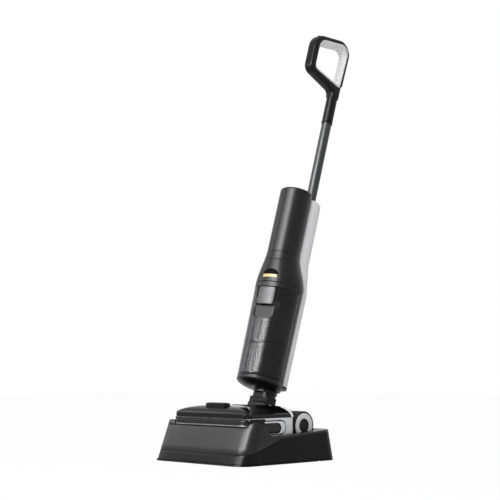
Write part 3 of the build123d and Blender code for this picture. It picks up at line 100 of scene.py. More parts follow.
def lofted(rings: Array, closed: bool = False, bands: Array = None) -> Shape:
    """Surface through rings of points: face (i, j) joins points j and j+1 of rings i and i+1.

    Args:
        rings: array of shape (rings, points, 3), in millimetres.
        closed: whether the last ring joins the first; otherwise both ends get a flat face.
        bands: finish number of each row of faces, or None.
    Returns:
        A closed shape with its faces outwards.
    """
    rings = np.asarray(rings, float)
    rows, cols, _ = rings.shape
    spans = rows if closed else rows - 1
    i, j = np.meshgrid(np.arange(spans), np.arange(cols), indexing="ij")
    i1, j1 = (i + 1) % rows, (j + 1) % cols
    quads = np.stack([i * cols + j, i * cols + j1, i1 * cols + j1, i1 * cols + j], -1).reshape(-1, 4)
    bands = np.zeros(spans, int) if bands is None else np.asarray(bands)
    ends = [] if closed else [np.arange(cols)[::-1], (rows - 1) * cols + np.arange(cols)]
    end_finish = [] if closed else [int(bands[0]), int(bands[-1])]
    return Shape(rings.reshape(-1, 3), quads, ends, np.repeat(bands, cols), end_finish).outward()


def rounded_outline(corners: Array, radii: Array, inset: float = 0.0, arc: int = 8, side: int = 4) -> Array:
    """Outline of a polygon with rounded corners, drawn in by an inset.

    Each edge moves along its inward normal, each corner radius shrinks (or grows, where the corner is
    hollow) by the inset, and a corner's arc is centre - r (n cos a - d sin a) with a from 0 to the turn.

    Args:
        corners: the polygon's corners, anticlockwise, shape (n, 2).
        radii: corner radius, one for all or one for each corner.
        inset: distance inwards.
        arc: points on each corner's arc.
        side: points on each straight side.
    Returns:
        Points of the closed outline, shape (n (arc + side), 2).
    """
    p = np.asarray(corners, float)
    d0 = p - np.roll(p, 1, 0)
    d0 /= np.linalg.norm(d0, axis=1, keepdims=True)
    d1 = np.roll(d0, -1, 0)
    n0 = np.stack([-d0[:, 1], d0[:, 0]], 1)
    n1 = np.roll(n0, -1, 0)
    p = p + inset * (n0 + n1) / (1 + (n0 * n1).sum(1, keepdims=True))
    turn = np.arctan2(d0[:, 0] * d1[:, 1] - d0[:, 1] * d1[:, 0], (d0 * d1).sum(1))
    sign = np.where(turn >= 0, 1.0, -1.0)
    r = np.maximum(np.asarray(radii, float) - inset * sign, 0.05)
    reach = r * np.tan(np.abs(turn) / 2)
    start = p - d0 * reach[:, None]
    centre = start + n0 * (sign * r)[:, None]
    a = turn[:, None] * np.linspace(0, 1, arc)
    spoke = n0[:, None] * np.cos(a)[..., None] - d0[:, None] * np.sin(a)[..., None]
    arcs = centre[:, None] - (sign * r)[:, None, None] * spoke
    t = np.linspace(0, 1, side + 2)[1:-1][None, :, None]
    lines = arcs[:, -1:, :] * (1 - t) + np.roll(arcs[:, :1, :], -1, 0) * t
    return np.concatenate([arcs, lines], 1).reshape(-1, 2)


def rectangle(x0: float, x1: float, y0: float, y1: float) -> Array:
    """The four corners of a rectangle, anticlockwise."""
    return np.array([(x0, y0), (x1, y0), (x1, y1), (x0, y1)])


def at_level(outline: Array, level: Array) -> Array:
    """A ring from an outline in plan and its level, or each point's own level."""
    return np.column_stack([outline, np.broadcast_to(level, len(outline))])


def across(outline: Array, x: float) -> Array:
    """A ring from an outline seen from the side, at a distance x across."""
    return np.column_stack([np.full(len(outline), x), outline])


def around(reach: Array, angles: Array, v: float, u: float) -> Array:
    """A ring about an upright axis: reach sin a across, v - reach cos a along, at the height u."""
    return np.column_stack([reach * np.sin(angles), v - reach * np.cos(angles), np.full(len(angles), u)])


def edge_steps(radius: float, count: int = 5) -> Array:
    """Steps of a rounded edge: (inset, drop) pairs r (1 - cos a, 1 - sin a), from the side to the top."""
    a = np.linspace(0, math.pi / 2, count)
    return radius * np.stack([1 - np.cos(a), 1 - np.sin(a)], 1)


def pillow(corners: Array, radius: float, low: float, high: float, edge: float, lower_edge: float = 0.0,
           arc: int = 8, side: int = 4) -> Shape:
    """Block with rounded edges: its plan is drawn in by a rounded edge's steps.

    Args:
        corners, radius: the plan of the block.
        low, high: its two levels.
        edge, lower_edge: radii of the upper and lower edges.
        arc, side: density of the outline.
    Returns:
        The block.
    """
    steps = [(i, low + d) for i, d in edge_steps(lower_edge, 4)[::-1]] if lower_edge else [(0.0, low)]
    steps += [(i, high - d) for i, d in edge_steps(edge)]
    return lofted([at_level(rounded_outline(corners, radius, i, arc, side), level) for i, level in steps])


def turned(profile: Array, count: int = 96) -> Array:
    """Rings of a turned piece: profile points (along, radius) become circles about the first axis."""
    a = np.linspace(0, TURN, count, endpoint=False)
    profile = np.asarray(profile, float)
    along = np.repeat(profile[:, :1], count, 1)
    return np.stack([along, profile[:, 1:] * np.cos(a), profile[:, 1:] * np.sin(a)], -1)


def soft_least(*distances: Array, sharpness: float) -> Array:
    """A rounded minimum: (sum of d to the power -p) to the power -1/p."""
    return sum(np.power(d, -sharpness) for d in distances) ** (-1 / sharpness)


def smooth(t: Array) -> Array:
    """A curve from 0 to 1 with level ends: t squared (3 - 2 t), with t held between 0 and 1."""
    t = np.clip(t, 0, 1)
    return t * t * (3 - 2 * t)


# ---- the leaning frame ----

@dataclass(frozen=True)
class Leaning:
    """The leaning frame: the recline hinge is its origin and the swivel axis is its u."""

    pivot: tuple
    axis: tuple

    @classmethod
    def from_joints(cls) -> "Leaning":
        """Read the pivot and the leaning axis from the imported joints."""
        joints = {j["name"]: j for j in frame["joints"]}
        return cls(tuple(joints["neck_recline"]["pos_m"]), tuple(joints["neck_swivel"]["axis"]))

    def place(self, points: Array) -> Array:
        """Carry (x, v, u) points to the floor frame: y and z turn by the lean about the pivot."""
        _, sine, cosine = self.axis
        _, py, pz = (c / MM for c in self.pivot)
        return np.stack([points[..., 0], py + points[..., 1] * cosine + points[..., 2] * sine,
                         pz - points[..., 1] * sine + points[..., 2] * cosine], -1)


LEAN = Leaning.from_joints()


# ---- kinds of finish ----

class Grain(Enum):
    """How a surface is broken up: noise spots a metre, their detail, bump depth, stray of the roughness."""

    SPARK = (2600, 2, 0.000035, 0.2)
    POLISH = (3200, 1, 0.000008, 0.3)
    BRUSH = (900, 3, 0.00004, 0.6)
    RUBBER = (1500, 4, 0.00008, 0.5)


def toned(colour: tuple, factor: float) -> tuple:
    """A colour made lighter or darker by a factor."""
    return tuple(min(1.0, c * factor) for c in colour)


class Nodes:
    """Small helper that wires the nodes of a material or a world."""

    def __init__(self, owner: bpy.types.ID) -> None:
        """Turn the owner's nodes on and find its shader."""
        owner.use_nodes = True
        self.tree = owner.node_tree
        self.shader = self.tree.nodes.get("Principled BSDF")

    def wire(self, node: bpy.types.Node, inputs: dict) -> bpy.types.Node:
        """Give each named input of a node a link from a socket, or a constant."""
        for key, value in inputs.items():
            if isinstance(value, bpy.types.NodeSocket):
                self.tree.links.new(value, node.inputs[key])
            elif value is not None:
                node.inputs[key].default_value = value
        return node

    def add(self, kind: str, inputs: dict, **values: object) -> bpy.types.Node:
        """Add a node, set its attributes and wire its inputs."""
        node = self.tree.nodes.new(kind)
        for key, value in values.items():
            setattr(node, key, value)
        return self.wire(node, inputs)

    def mapped(self, scale: tuple) -> object:
        """Object coordinates stretched by a scale."""
        place = self.add("ShaderNodeTexCoord", {}).outputs["Object"]
        return self.add("ShaderNodeMapping", {"Vector": place, "Scale": scale}).outputs["Vector"]

    def noise(self, scale: float, detail: float = 3.0, along: tuple = (1.0, 1.0, 1.0)) -> object:
        """A noise value between 0 and 1 with so many spots a metre, stretched by a scale."""
        inputs = {"Vector": self.mapped(along), "Scale": scale, "Detail": detail}
        return self.add("ShaderNodeTexNoise", inputs).outputs["Fac"]

    def ranged(self, value: object, low: float, high: float, start: float = 0.3, end: float = 0.7) -> object:
        """Carry a value from one range to another."""
        inputs = {"Value": value, "From Min": start, "From Max": end, "To Min": low, "To Max": high}
        return self.add("ShaderNodeMapRange", inputs).outputs["Result"]

    def blended(self, fac: object, first: tuple, second: object) -> object:
        """A mix of a colour and a second one, or a socket's, by a factor."""
        inputs = {"Factor": fac, "A": (*first, 1), "B": (*second, 1) if isinstance(second, tuple) else second}
        return self.add("ShaderNodeMix", inputs, data_type="RGBA").outputs["Result"]

    def mottled(self, value: object, colour: tuple, low: float, high: float) -> object:
        """A colour between two tones of itself by a noise value."""
        return self.blended(self.ranged(value, 0, 1), toned(colour, low), toned(colour, high))

    def raised(self, height: object, depth: float, before: object = None) -> object:
        """A bump of a depth in metres from a height between 0 and 1."""
        inputs = {"Height": height, "Strength": 1.0, "Distance": depth, "Normal": before}
        return self.add("ShaderNodeBump", inputs).outputs["Normal"]

    def shade(self, colour: object, roughness: object, normal: object = None, **values: object) -> None:
        """Wire the shader's own inputs, named with _ for a space."""
        self.wire(self.shader, {"Base Color": colour, "Roughness": roughness, "Normal": normal})
        self.wire(self.shader, {key.replace("_", " "): value for key, value in values.items()})


@dataclass(frozen=True)
class Moulded:
    """Moulded plastic, rubber, paper or metal: mottled, clouded by handling marks, and grained."""

    name: str
    colour: tuple
    roughness: float
    grain: Grain = Grain.SPARK
    specular: float = 0.5
    metallic: float = 0.0
    variation: float = 0.12
    along: tuple = (1.0, 1.0, 1.0)

    def paint(self, n: Nodes) -> None:
        """Colour mottled by slow noise, roughness clouded by handling marks, bump by grain."""
        scale, detail, depth, stray = self.grain.value
        ripple = n.raised(n.noise(55, 2), 0.00012) if self.grain is Grain.POLISH else None
        spread = stray * self.variation
        n.shade(n.mottled(n.noise(14, 4), self.colour, 1 - self.variation, 1 + self.variation),
                n.ranged(n.noise(38, 6), max(0.02, self.roughness - spread), self.roughness + spread),
                n.raised(n.noise(scale, detail, self.along), depth, ripple),
                Metallic=self.metallic, Specular_IOR_Level=self.specular)


@dataclass(frozen=True)
class Clear:
    """Tinted see-through plastic, clouded a little, with faint moulding ripples."""

    name: str
    colour: tuple
    roughness: float
    ior: float

    def paint(self, n: Nodes) -> None:
        """Tinted transmission."""
        n.shade(n.mottled(n.noise(20, 4), self.colour, 0.92, 1.08),
                n.ranged(n.noise(45, 2), self.roughness - 0.01, self.roughness + 0.01),
                n.raised(n.noise(30, 1), 0.00002), Transmission_Weight=1.0, IOR=self.ior)


@dataclass(frozen=True)
class GapShadeAndFoot:
    """Moulded plastic with a dark band ahead of a plane across the leaning body, which is painted shade of the groove
    beside the body, and a dark foot.
    """

    name: str
    colour: tuple
    band: tuple
    edge: float
    foot: float

    def paint(self, n: Nodes) -> None:
        """Dark where the distance behind the pivot, (p - pivot) . v, or up from it, (p - pivot) . u, is small; the
        first is painted shade.
        """
        place = n.mapped((1.0, 1.0, 1.0))
        offset = n.add("ShaderNodeVectorMath", {0: place, 1: LEAN.pivot}, operation="SUBTRACT").outputs["Vector"]
        _, sine, cosine = LEAN.axis
        shares = {}
        for way, limit in (((0, cosine, -sine), self.edge), ((0, sine, cosine), self.foot)):
            dot = n.add("ShaderNodeVectorMath", {0: offset, 1: way}, operation="DOT_PRODUCT").outputs["Value"]
            shares[len(shares)] = n.ranged(dot, 0.0, 1.0, limit - 0.0002, limit + 0.0002)
        both = n.add("ShaderNodeMath", shares, operation="MULTIPLY").outputs["Value"]
        # painted shade: dark ahead of the plane, standing for the shade in the groove beside the body
        n.shade(n.blended(both, self.band, n.mottled(n.noise(14, 4), self.colour, 0.97, 1.03)),
                n.ranged(n.noise(38, 6), 0.4, 0.5), n.raised(n.noise(2600, 2), 0.000035), Specular_IOR_Level=0.3)


@dataclass(frozen=True)
class Glow:
    """A lit diffuser that mottles slightly."""

    name: str
    colour: tuple
    strength: float

    def paint(self, n: Nodes) -> None:
        """Warm emission over a pale diffuser."""
        hue = n.mottled(n.noise(240, 3), self.colour, 0.8, 1.1)
        n.shade(hue, n.ranged(n.noise(500, 2), 0.3, 0.4), Emission_Color=hue, Emission_Strength=self.strength)


@dataclass(frozen=True)
class Pile:
    """Dense fabric pile: short fibres from stretched noise, with a soft sheen."""

    name: str
    colour: tuple

    def paint(self, n: Nodes) -> None:
        """Painted shade at the fibres' roots and painted light at their tips, by the fibres' height, and a deep bump.
        """
        fibre_and_shade = n.noise(1400, 4, (0.6, 1.0, 1.0))
        # painted shade and light: the colour darkens where the fibres' height is low and lightens where it is high
        n.shade(n.mottled(fibre_and_shade, self.colour, 0.55, 1.2), n.ranged(fibre_and_shade, 0.8, 0.95), n.raised(fibre_and_shade, 0.0006),
                Sheen_Weight=0.5, Sheen_Roughness=0.5)


def grey(level: float, blue: float = 0.0) -> tuple:
    """A grey whose blue may be a little above its red and green."""
    return (level, level, blue or level)


# ---- finishes ----

DOCK_COVER = Moulded("dock cover satin", grey(0.006, 0.0065), 0.30, specular=0.25, variation=0.06)
DOCK_BASE = Moulded("dock base satin", grey(0.0045, 0.005), 0.26, specular=0.09, variation=0.06)
BUMPER = Moulded("bumper satin", grey(0.008, 0.009), 0.25, specular=0.22)
CHARCOAL = Moulded("charcoal satin plastic", grey(0.007, 0.0075), 0.32, specular=0.20, variation=0.08)
BLACK_GLOSS = Moulded("black gloss plastic", grey(0.004, 0.0045), 0.15, Grain.POLISH, specular=0.16)
BLACK_SATIN = Moulded("black satin plastic", grey(0.0035, 0.004), 0.30, specular=0.14)
LIGHT_GREY = Moulded("light grey plastic", grey(0.80, 0.81), 0.45, specular=0.3, variation=0.03)
LINER_GREY = Moulded("liner grey plastic", grey(0.74), 0.5, Grain.RUBBER, specular=0.2, variation=0.03)
SATIN_GREY = Moulded("satin grey metal", grey(0.16, 0.165), 0.34, Grain.BRUSH, metallic=0.5, along=(0.05, 1.0, 1.0))
SILVER = Moulded("silver lacquer", grey(0.075, 0.077), 0.42, Grain.BRUSH, metallic=0.25, specular=0.2,
                 along=(1.0, 1.0, 0.06))
POLE = Moulded("anodised pole", (0.024, 0.0245, 0.026), 0.38, Grain.BRUSH, metallic=0.25, specular=0.44,
               along=(1.0, 1.0, 0.04))
RUBBER = Moulded("tyre rubber", grey(0.012), 0.62, Grain.RUBBER, specular=0.2)
SOFT_RUBBER = Moulded("soft rubber", grey(0.022, 0.023), 0.7, Grain.RUBBER, specular=0.2)
INNER = Moulded("inner plastic", grey(0.05, 0.052), 0.5)
STEEL = Moulded("plain steel", grey(0.5), 0.28, Grain.BRUSH, metallic=1.0, along=(0.1, 1.0, 1.0))
CHROME = Moulded("bright pin", grey(0.78), 0.12, Grain.POLISH, metallic=1.0, variation=0.03)
BRASS = Moulded("contact brass", (0.65, 0.48, 0.20), 0.3, Grain.BRUSH, metallic=1.0)
MOTOR = Moulded("motor can", grey(0.16, 0.165), 0.38, Grain.BRUSH, metallic=0.8)
BOARD = Moulded("board lacquer", (0.01, 0.11, 0.05), 0.35, Grain.POLISH)
PLEATS = Moulded("filter paper", (0.55, 0.53, 0.48), 0.85, Grain.RUBBER)
# also the painted shade in the gap round the tank latch
WINDOW_AND_GAP_SHADE = Moulded("window black", grey(0.002), 0.5, specular=0.02)
PLATE = Moulded("cap plate satin", grey(0.022, 0.023), 0.45, specular=0.2, variation=0.06)
SCOOP = Moulded("scoop satin", grey(0.022, 0.023), 0.5, specular=0.2)
SMOKE = Clear("smoky clear plastic", grey(0.18, 0.19), 0.21, 1.28)
# the clean tank's panel carries painted shade along its front edge, beside the body
PANEL = GapShadeAndFoot("clean tank plastic", grey(0.80, 0.81), grey(0.006, 0.0065), -0.0045, 0.0585)
AMBER = Glow("amber diffuser", (0.62, 0.42, 0.16), 0.35)
PILE = Pile("roller pile", grey(0.10, 0.11))

MADE: dict = {}


def made(finish: object) -> bpy.types.Material:
    """The material of a finish, made the first time it is asked for."""
    if finish.name not in MADE:
        MADE[finish.name] = bpy.data.materials.new(finish.name)
        finish.paint(Nodes(MADE[finish.name]))
    return MADE[finish.name]


# ---- sub-assemblies ----

class Assembly:
    """What the pieces of a sub-assembly share: the body they ride on, and whether they lean."""

    body = ""
    lean = False

    def piece(self, name: str, shape: Shape, finishes: list, node: str = "", slot: str = "",
              sharp: float = 40.0, body: str = "") -> None:
        """Turn a shape into an object that rides on a body.

        Args:
            name: the piece's name.
            shape: its surface in millimetres.
            finishes: its finishes, in the order of the shape's finish numbers.
            node: the CAD node that it stands for.
            slot: the record's material slot; not used.
            sharp: angle in degrees past which an edge is drawn hard.
            body: the CAD body that it rides on, where it isn't the sub-assembly's own.
        """
        points = (LEAN.place(shape.points) if self.lean else shape.points) * MM
        mesh = bpy.data.meshes.new(name)
        mesh.from_pydata(points.tolist(), [], shape.quads.tolist() + [end.tolist() for end in shape.ends])
        numbers = np.concatenate([shape.quad_finish, shape.end_finish]).astype(np.int32)
        mesh.polygons.foreach_set("material_index", numbers)
        mesh.validate()
        mesh.shade_smooth()
        mesh.set_sharp_from_angle(angle=math.radians(sharp))
        for finish in finishes:
            mesh.materials.append(made(finish))
        piece = bpy.data.objects.new(name, mesh)
        bpy.context.scene.collection.objects.link(piece)
        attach(piece, body or self.body)
        if node:
            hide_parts(node)
        LOG.info("%s: %d points on %s", name, len(points), body or self.body)


class KeptNodes:
    """CAD nodes whose shape is right as it is, under the finish that each gets."""

    nodes = {
        INNER: ("dock_tray", "dock_power_inlet", "suction_duct", "spray_bar", "roller_core", "water_pump",
                "tank_inlet_tube", "tank_strainer"),
        DOCK_BASE: ("dock_bottom_plate",),
        SOFT_RUBBER: ("dock_pads", "drive_belt", "scraper_blade", "tank_seal", "clean_tank_cap"),
        BRASS: ("dock_contacts",),
        STEEL: ("dock_screws", "motor_pulley", "wheel_axle", "head_screws"),
        LIGHT_GREY: ("head_chassis", "tank_float"),
        BLACK_GLOSS: ("neck_shroud",),
        MOTOR: ("brush_motor", "suction_motor", "battery_pack"),
        CHROME: ("neck_pin",),
        PLEATS: ("exhaust_filter",),
        BOARD: ("control_board",),
        PANEL: ("clean_tank_shell",),
        BLACK_SATIN: ("neck_yoke",),
    }

    def build(self) -> None:
        """Give each node its finish in place of the frame's."""
        for finish, names in self.nodes.items():
            for name in names:
                materials = frame["nodes"][name].data.materials
                materials.clear()
                materials.append(made(finish))
                LOG.info("%s: kept from the frame", name)


# ---- dock ----

@dataclass
class Dock(Assembly):
    """Dock shell: a drafted box with a swept rim, parted along a rising seam."""

    half_x: float = 160.0
    front: float = -166.0
    rear: float = 164.5
    side_draft: float = 0.01
    front_draft: float = 0.395
    rear_draft: float = 0.22
    draft_height: float = 100.0
    corner: float = 32.0
    bow: float = 3.5
    bow_from: float = -40.0
    bow_run: float = 80.0
    base_low: float = 4.3
    foot_edge: float = 0.8
    wall_rim: float = 1.6
    seam: tuple = ((-140.0, 25.0), (-100.0, 37.0), (-36.0, 59.0), (124.0, 69.0))
    seam_gap: float = 0.45
    lip: tuple = ((0.7, 0.0), (0.15, 0.25), (0.0, 0.9))
    inner_seam_top: float = 66.0
    pocket: tuple = (-132.0, 132.0, -115.5, 121.0)
    pocket_corner: float = 19.0
    front_rim: float = 86.0
    ear: tuple = (-112.0, 98.0)
    ear_front: tuple = (15.0, 12.0)
    ear_rear: tuple = (54.0, 32.5)
    tail: tuple = ((-58.0, -18.0, 164.5), (65.5, 66.0, 76.5))
    strip_half: float = 129.5
    strip_front: float = -127.0
    strip_corner: float = 21.0
    clearance: float = 0.3
    arc: int = 16
    side: int = 34
    first_level: float = 60.0
    rounds: int = 8
    body = "dock"

    def plan(self, height: float, inset: float = 0.0) -> Array:
        """Outline at a height, each side drawn in by its draft."""
        x = self.half_x - self.side_draft * height
        box = rectangle(-x, x, self.front + self.front_draft * height, self.rear - self.rear_draft * height)
        return rounded_outline(box, self.corner, inset, self.arc, self.side)

    def outer(self, level: Array, inset: float = 0.0) -> Array:
        """Outer outline whose every point follows its own level, with a bowed front."""
        plain = self.plan(0)
        t = (np.asarray(level) / self.draft_height)[:, None]
        out = plain * (1 - t) + self.plan(self.draft_height) * t + (self.plan(0, 1.0) - plain) * inset
        ahead = smooth((self.bow_from - out[:, 1]) / self.bow_run)
        out[:, 1] += self.bow * (np.abs(out[:, 0]) / self.half_x) ** 4 * ahead
        return out

    def inner(self, inset: float = 0.0) -> Array:
        """Outline of the pocket that holds the head."""
        return rounded_outline(rectangle(*self.pocket), self.pocket_corner, -inset, self.arc, self.side)

    def seam_level(self, y: Array) -> Array:
        """Height of the part line: level in front, then rising in eased steps through its knots."""
        knots = np.array(self.seam)
        fine, even = np.linspace(0, 1, 200), np.linspace(0, 1, len(knots))
        kernel = np.hanning(41)
        heights = np.pad(np.interp(fine, even, knots[:, 1]), 20, mode="edge")
        return np.interp(y, np.interp(fine, even, knots[:, 0]), np.convolve(heights, kernel / kernel.sum(), "valid"))

    def rim_level(self, y: Array) -> Array:
        """Height of the rim: level in front, up to the ear's peak, eased down behind it, then rising slightly."""
        peak_y, peak = self.ear
        run, rise = self.ear_front
        ahead = peak - rise + rise * np.sqrt(1 - np.clip((peak_y - y) / run, 0, 1) ** 2)
        run, rise = self.ear_rear
        fall = peak - rise * smooth((y - peak_y) / run)
        return np.where(y < peak_y, ahead, np.where(y < self.tail[0][0], fall, np.interp(y, *self.tail)))

    def strip_room(self, inset: float) -> Array:
        """The pocket's outline, moved straight out to a clear distance from the bumper strip at its corners."""
        inner = self.inner(inset)
        middle = np.array([self.strip_half - self.strip_corner, self.strip_front + self.strip_corner])
        away = np.column_stack([np.abs(inner[:, 0]), inner[:, 1]]) - middle
        reach = np.hypot(*away.T)
        corner = (away[:, 0] > 0) & (away[:, 1] < 0)
        need = np.where(corner, np.maximum(self.strip_corner + inset - reach, 0), 0)
        push = away / np.maximum(reach, 1e-6)[:, None] * need[:, None]
        return inner + push * np.column_stack([np.sign(inner[:, 0]), np.ones(len(inner))])

    def swept(self, rule: Callable, offset: float = 0.0, inset: float = 0.0) -> Array:
        """Ring on a swept edge: the level depends on y and y on the level, so it is repeated."""
        level = np.full(4 * (self.arc + self.side), self.first_level)
        for _ in range(self.rounds):
            outline = self.outer(level, inset)
            level = rule(outline[:, 1]) + offset
        return at_level(outline, level)

    def build(self) -> None:
        """Base below the seam and front cover above it, each a closed wall round the pocket."""
        half, seam, rim = self.seam_gap / 2, self.seam_level, self.rim_level
        low = np.full(4 * (self.arc + self.side), self.base_low)
        inner, raised = self.inner(), low + self.foot_edge
        rings = [at_level(self.outer(low, self.foot_edge), low), at_level(self.outer(raised), raised)]
        rings += [self.swept(lambda y: low + (seam(y) - low) * share) for share in (0.35, 0.7)]
        rings += [self.swept(seam, -half - away, inset) for away, inset in self.lip]
        rings += [at_level(inner, np.minimum(seam(inner[:, 1]), self.inner_seam_top) - half), at_level(inner, low)]
        self.piece("dock_base_shell", lofted(rings, closed=True), [DOCK_BASE], "dock_base",
                   "charcoal_plastic", 30)

        rings = [self.swept(seam, half + away, inset) for away, inset in self.lip[::-1]]
        rings += [self.swept(lambda y: seam(y) + (rim(y) - seam(y)) * share) for share in (0.25, 0.5, 0.75)]
        steps = edge_steps(self.wall_rim)
        rings += [self.swept(rim, -drop, inset) for inset, drop in steps]
        level = self.swept(rim)[:, 2]
        rings += [at_level(self.strip_room(inset), level - drop) for inset, drop in steps[::-1]]
        foot = np.minimum(level, self.front_rim) - self.wall_rim - self.clearance
        rings += [at_level(self.strip_room(0.0), foot), at_level(inner, foot - self.clearance),
                  at_level(inner, seam(inner[:, 1]) + half)]
        self.piece("dock_front_cover_shell", lofted(rings, closed=True), [DOCK_COVER],
                   "dock_front_cover", "charcoal_plastic", 30)


# ---- cleaning head ----

@dataclass
class Head(Assembly):
    """Deck, bumper strip, side caps and rear edging of the cleaning head."""

    half_x: float = 128.0
    low: float = 106.3
    deck_low: float = 106.9
    deck_top: float = 133.0
    deck_rear: float = 37.7
    deck_edge: float = 3.0
    shoulder_x: float = 64.0
    hood_side_y: float = -106.0
    hood_rear_y: float = -41.6
    hood_rear_half: float = 30.0
    bay: tuple = (124.0, -43.0)
    bay_sharper: float = 0.7
    fade: float = 6.0
    bumper: tuple = (-128.5, 128.5, -126.0, 32.0)
    bumper_corner: float = 20.0
    bumper_rear: float = -108.5
    bumper_deep: float = 10.6
    bumper_z: tuple = (88.0, 104.0)
    bumper_swell: float = 1.4
    bumper_lean: float = 1.2
    band_high: float = 3.6
    cap_half: float = 17.3
    cap_front: float = -75.0
    cap_rear: float = -7.3
    cap_z: float = 84.0
    cap_inner: float = 127.5
    cap_outer: float = 131.3
    skirt: tuple = ((-112.0, 88.5), (-66.0, 88.5), (-60.5, 105.2), (-112.0, 105.2))
    body = "head"

    def deck(self) -> None:
        """Black deck: an arched top over a bay cut for the hood, its rim eased over, less so along the bay."""
        half, near = self.hood_rear_half, self.hood_rear_y
        corners = [(-self.half_x, self.hood_side_y), (-half, near), (half, near), (self.half_x, self.hood_side_y),
                   (self.half_x, self.deck_rear), (-self.half_x, self.deck_rear)]
        radii = [3.0, 8.0, 8.0, 3.0, 9.0, 9.0]
        outline = rounded_outline(corners, radii, 0, 12, 30)
        inward = rounded_outline(corners, radii, 1.0, 12, 30) - outline
        in_bay = (outline[:, 1] < self.bay[1]) & (np.abs(outline[:, 0]) < self.bay[0])
        weight = 1 - self.bay_sharper * in_bay
        rings = [at_level(outline, self.low)]
        for inset, drop in edge_steps(self.deck_edge, 6):
            flat = outline + inward * (inset * weight)[:, None]
            run = np.clip((np.abs(flat[:, 0]) - self.shoulder_x) / (self.half_x - self.shoulder_x), 0, 1)
            top = self.deck_low + (self.deck_top - self.deck_low) * np.sqrt(1 - run * run)
            share = np.clip((top - self.low) / self.fade, 0, 1)
            rings.append(at_level(flat, top - drop * weight * share))
        self.piece("head_deck_cover", lofted(rings), [BLACK_GLOSS], "head_deck", "black_gloss", 35)

    def rear_band(self, side: int) -> None:
        """Pale edging over the deck's rear: a thin flat section carried along the arch's quarter ellipse."""
        run = np.linspace(0.30, 1.0, 30) * math.pi / 2
        wide, tall = self.half_x - self.shoulder_x, self.deck_top - self.deck_low
        centre = np.column_stack([self.shoulder_x + wide * np.sin(run), self.deck_low + tall * np.cos(run)])
        away = np.column_stack([np.sin(run) / wide, np.cos(run) / tall])
        away /= np.hypot(*away.T)[:, None]
        front, rear = self.deck_rear - 7.0, self.deck_rear + 0.2
        section = [(front, -1.0), (rear, -1.0), (rear, 0.4), (rear - 0.4, 0.8), (front + 0.4, 0.8), (front, 0.4)]
        rings = np.array([np.insert(centre + away * h, 1, y, axis=1) for y, h in section]) * (side, 1, 1)
        self.piece(f"rear_edging_{SIDES[side]}", lofted(rings.transpose(1, 0, 2)), [LIGHT_GREY], sharp=50)

    def strip(self) -> None:
        """Satin strip: a rounded section, swelling at its foot, carried round the head's front corners."""
        outline = rounded_outline(rectangle(*self.bumper), self.bumper_corner, 0, 20, 40)
        inward = rounded_outline(rectangle(*self.bumper), self.bumper_corner, 1.0, 20, 40) - outline
        keep = outline[:, 1] < self.bumper_rear
        order = np.argsort(np.arctan2(outline[keep, 0], -(outline[keep, 1] + 60)))
        path, inward = outline[keep][order], inward[keep][order]
        low, high = self.bumper_z
        section = rounded_outline(rectangle(0.0, self.bumper_deep, low, high), [1.5, 1.0, 1.0, 4.0], 0, 6, 6)
        first = np.argmin(np.hypot(section[:, 0], section[:, 1] - low - self.band_high))
        section = np.roll(section, -int(first), 0)
        rise = (section[:, 1] - low) / (high - low)
        face = section[:, 0] < 1.6
        bulge = np.where(face, self.bumper_swell * (1 - rise) ** 3 - self.bumper_lean * rise, 0)
        deep = section[:, 0] + self.bumper_swell - bulge
        shape = lofted([at_level(point + way * deep[:, None], section[:, 1]) for point, way in zip(path, inward)])
        level = shape.points[shape.quads][..., 2].mean(1)
        shape.quad_finish = (level < low + self.band_high).astype(int)
        self.piece("bumper_strip", shape, [BUMPER, SATIN_GREY], "front_bumper", "satin_grey", 50)

    def cap(self, side: int) -> None:
        """Side cap: a long rounded outline, a light ring, a dark groove and a dark plate, over a skirt."""
        half, z, face = self.cap_half, self.cap_z, self.cap_outer
        ends = rectangle(self.cap_front - half, self.cap_rear + half, z - half, z + half)
        plate = rectangle(self.cap_front - 8.5, self.cap_rear - 2.0, z - 12.4, z + 9.8)
        steps = [(0.0, self.cap_inner, 0), (0.0, face - 1.2, 1), (2.5, face - 1.2, 1), (2.7, face - 0.4, 1),
                 (3.1, face, 0)]
        rings = [(rounded_outline(ends, half - 0.05, inset, 16, 6), x, band) for inset, x, band in steps]
        steps = [(-1.3, face, 0), (-1.0, face - 0.4, 1), (-0.9, face - 1.6, 1), (0.9, face - 1.6, 1),
                 (1.0, face - 0.9, 1), (1.5, face - 0.5, 2), (3.0, face - 0.4, 2), (5.5, face - 0.6, 2)]
        rings += [(rounded_outline(plate, [8.7, 11.0, 11.0, 8.7], inset, 16, 6), x, band)
                  for inset, x, band in steps]
        cap = lofted([across(outline, side * x) for outline, x, _ in rings], bands=[b for _, _, b in rings][1:])
        steps = ((0.0, 129.5), (0.0, 131.2), (0.5, 131.6), (3.0, 131.6))
        skirt = lofted([across(rounded_outline(self.skirt, [1.0, 1.5, 1.5, 1.0], inset, 4, 6), side * x)
                        for inset, x in steps], bands=[1, 1, 1])
        self.piece(f"side_cap_{SIDES[side]}_face", joined([cap, skirt]),
                   [LIGHT_GREY, BLACK_SATIN, PLATE], f"side_cap_{SIDES[side]}",
                   "charcoal_plastic", 35)

    def build(self) -> None:
        """Make the deck, the bumper, both caps and both edgings."""
        self.deck()
        self.strip()
        for side in SIDES:
            self.cap(side)
            self.rear_band(side)


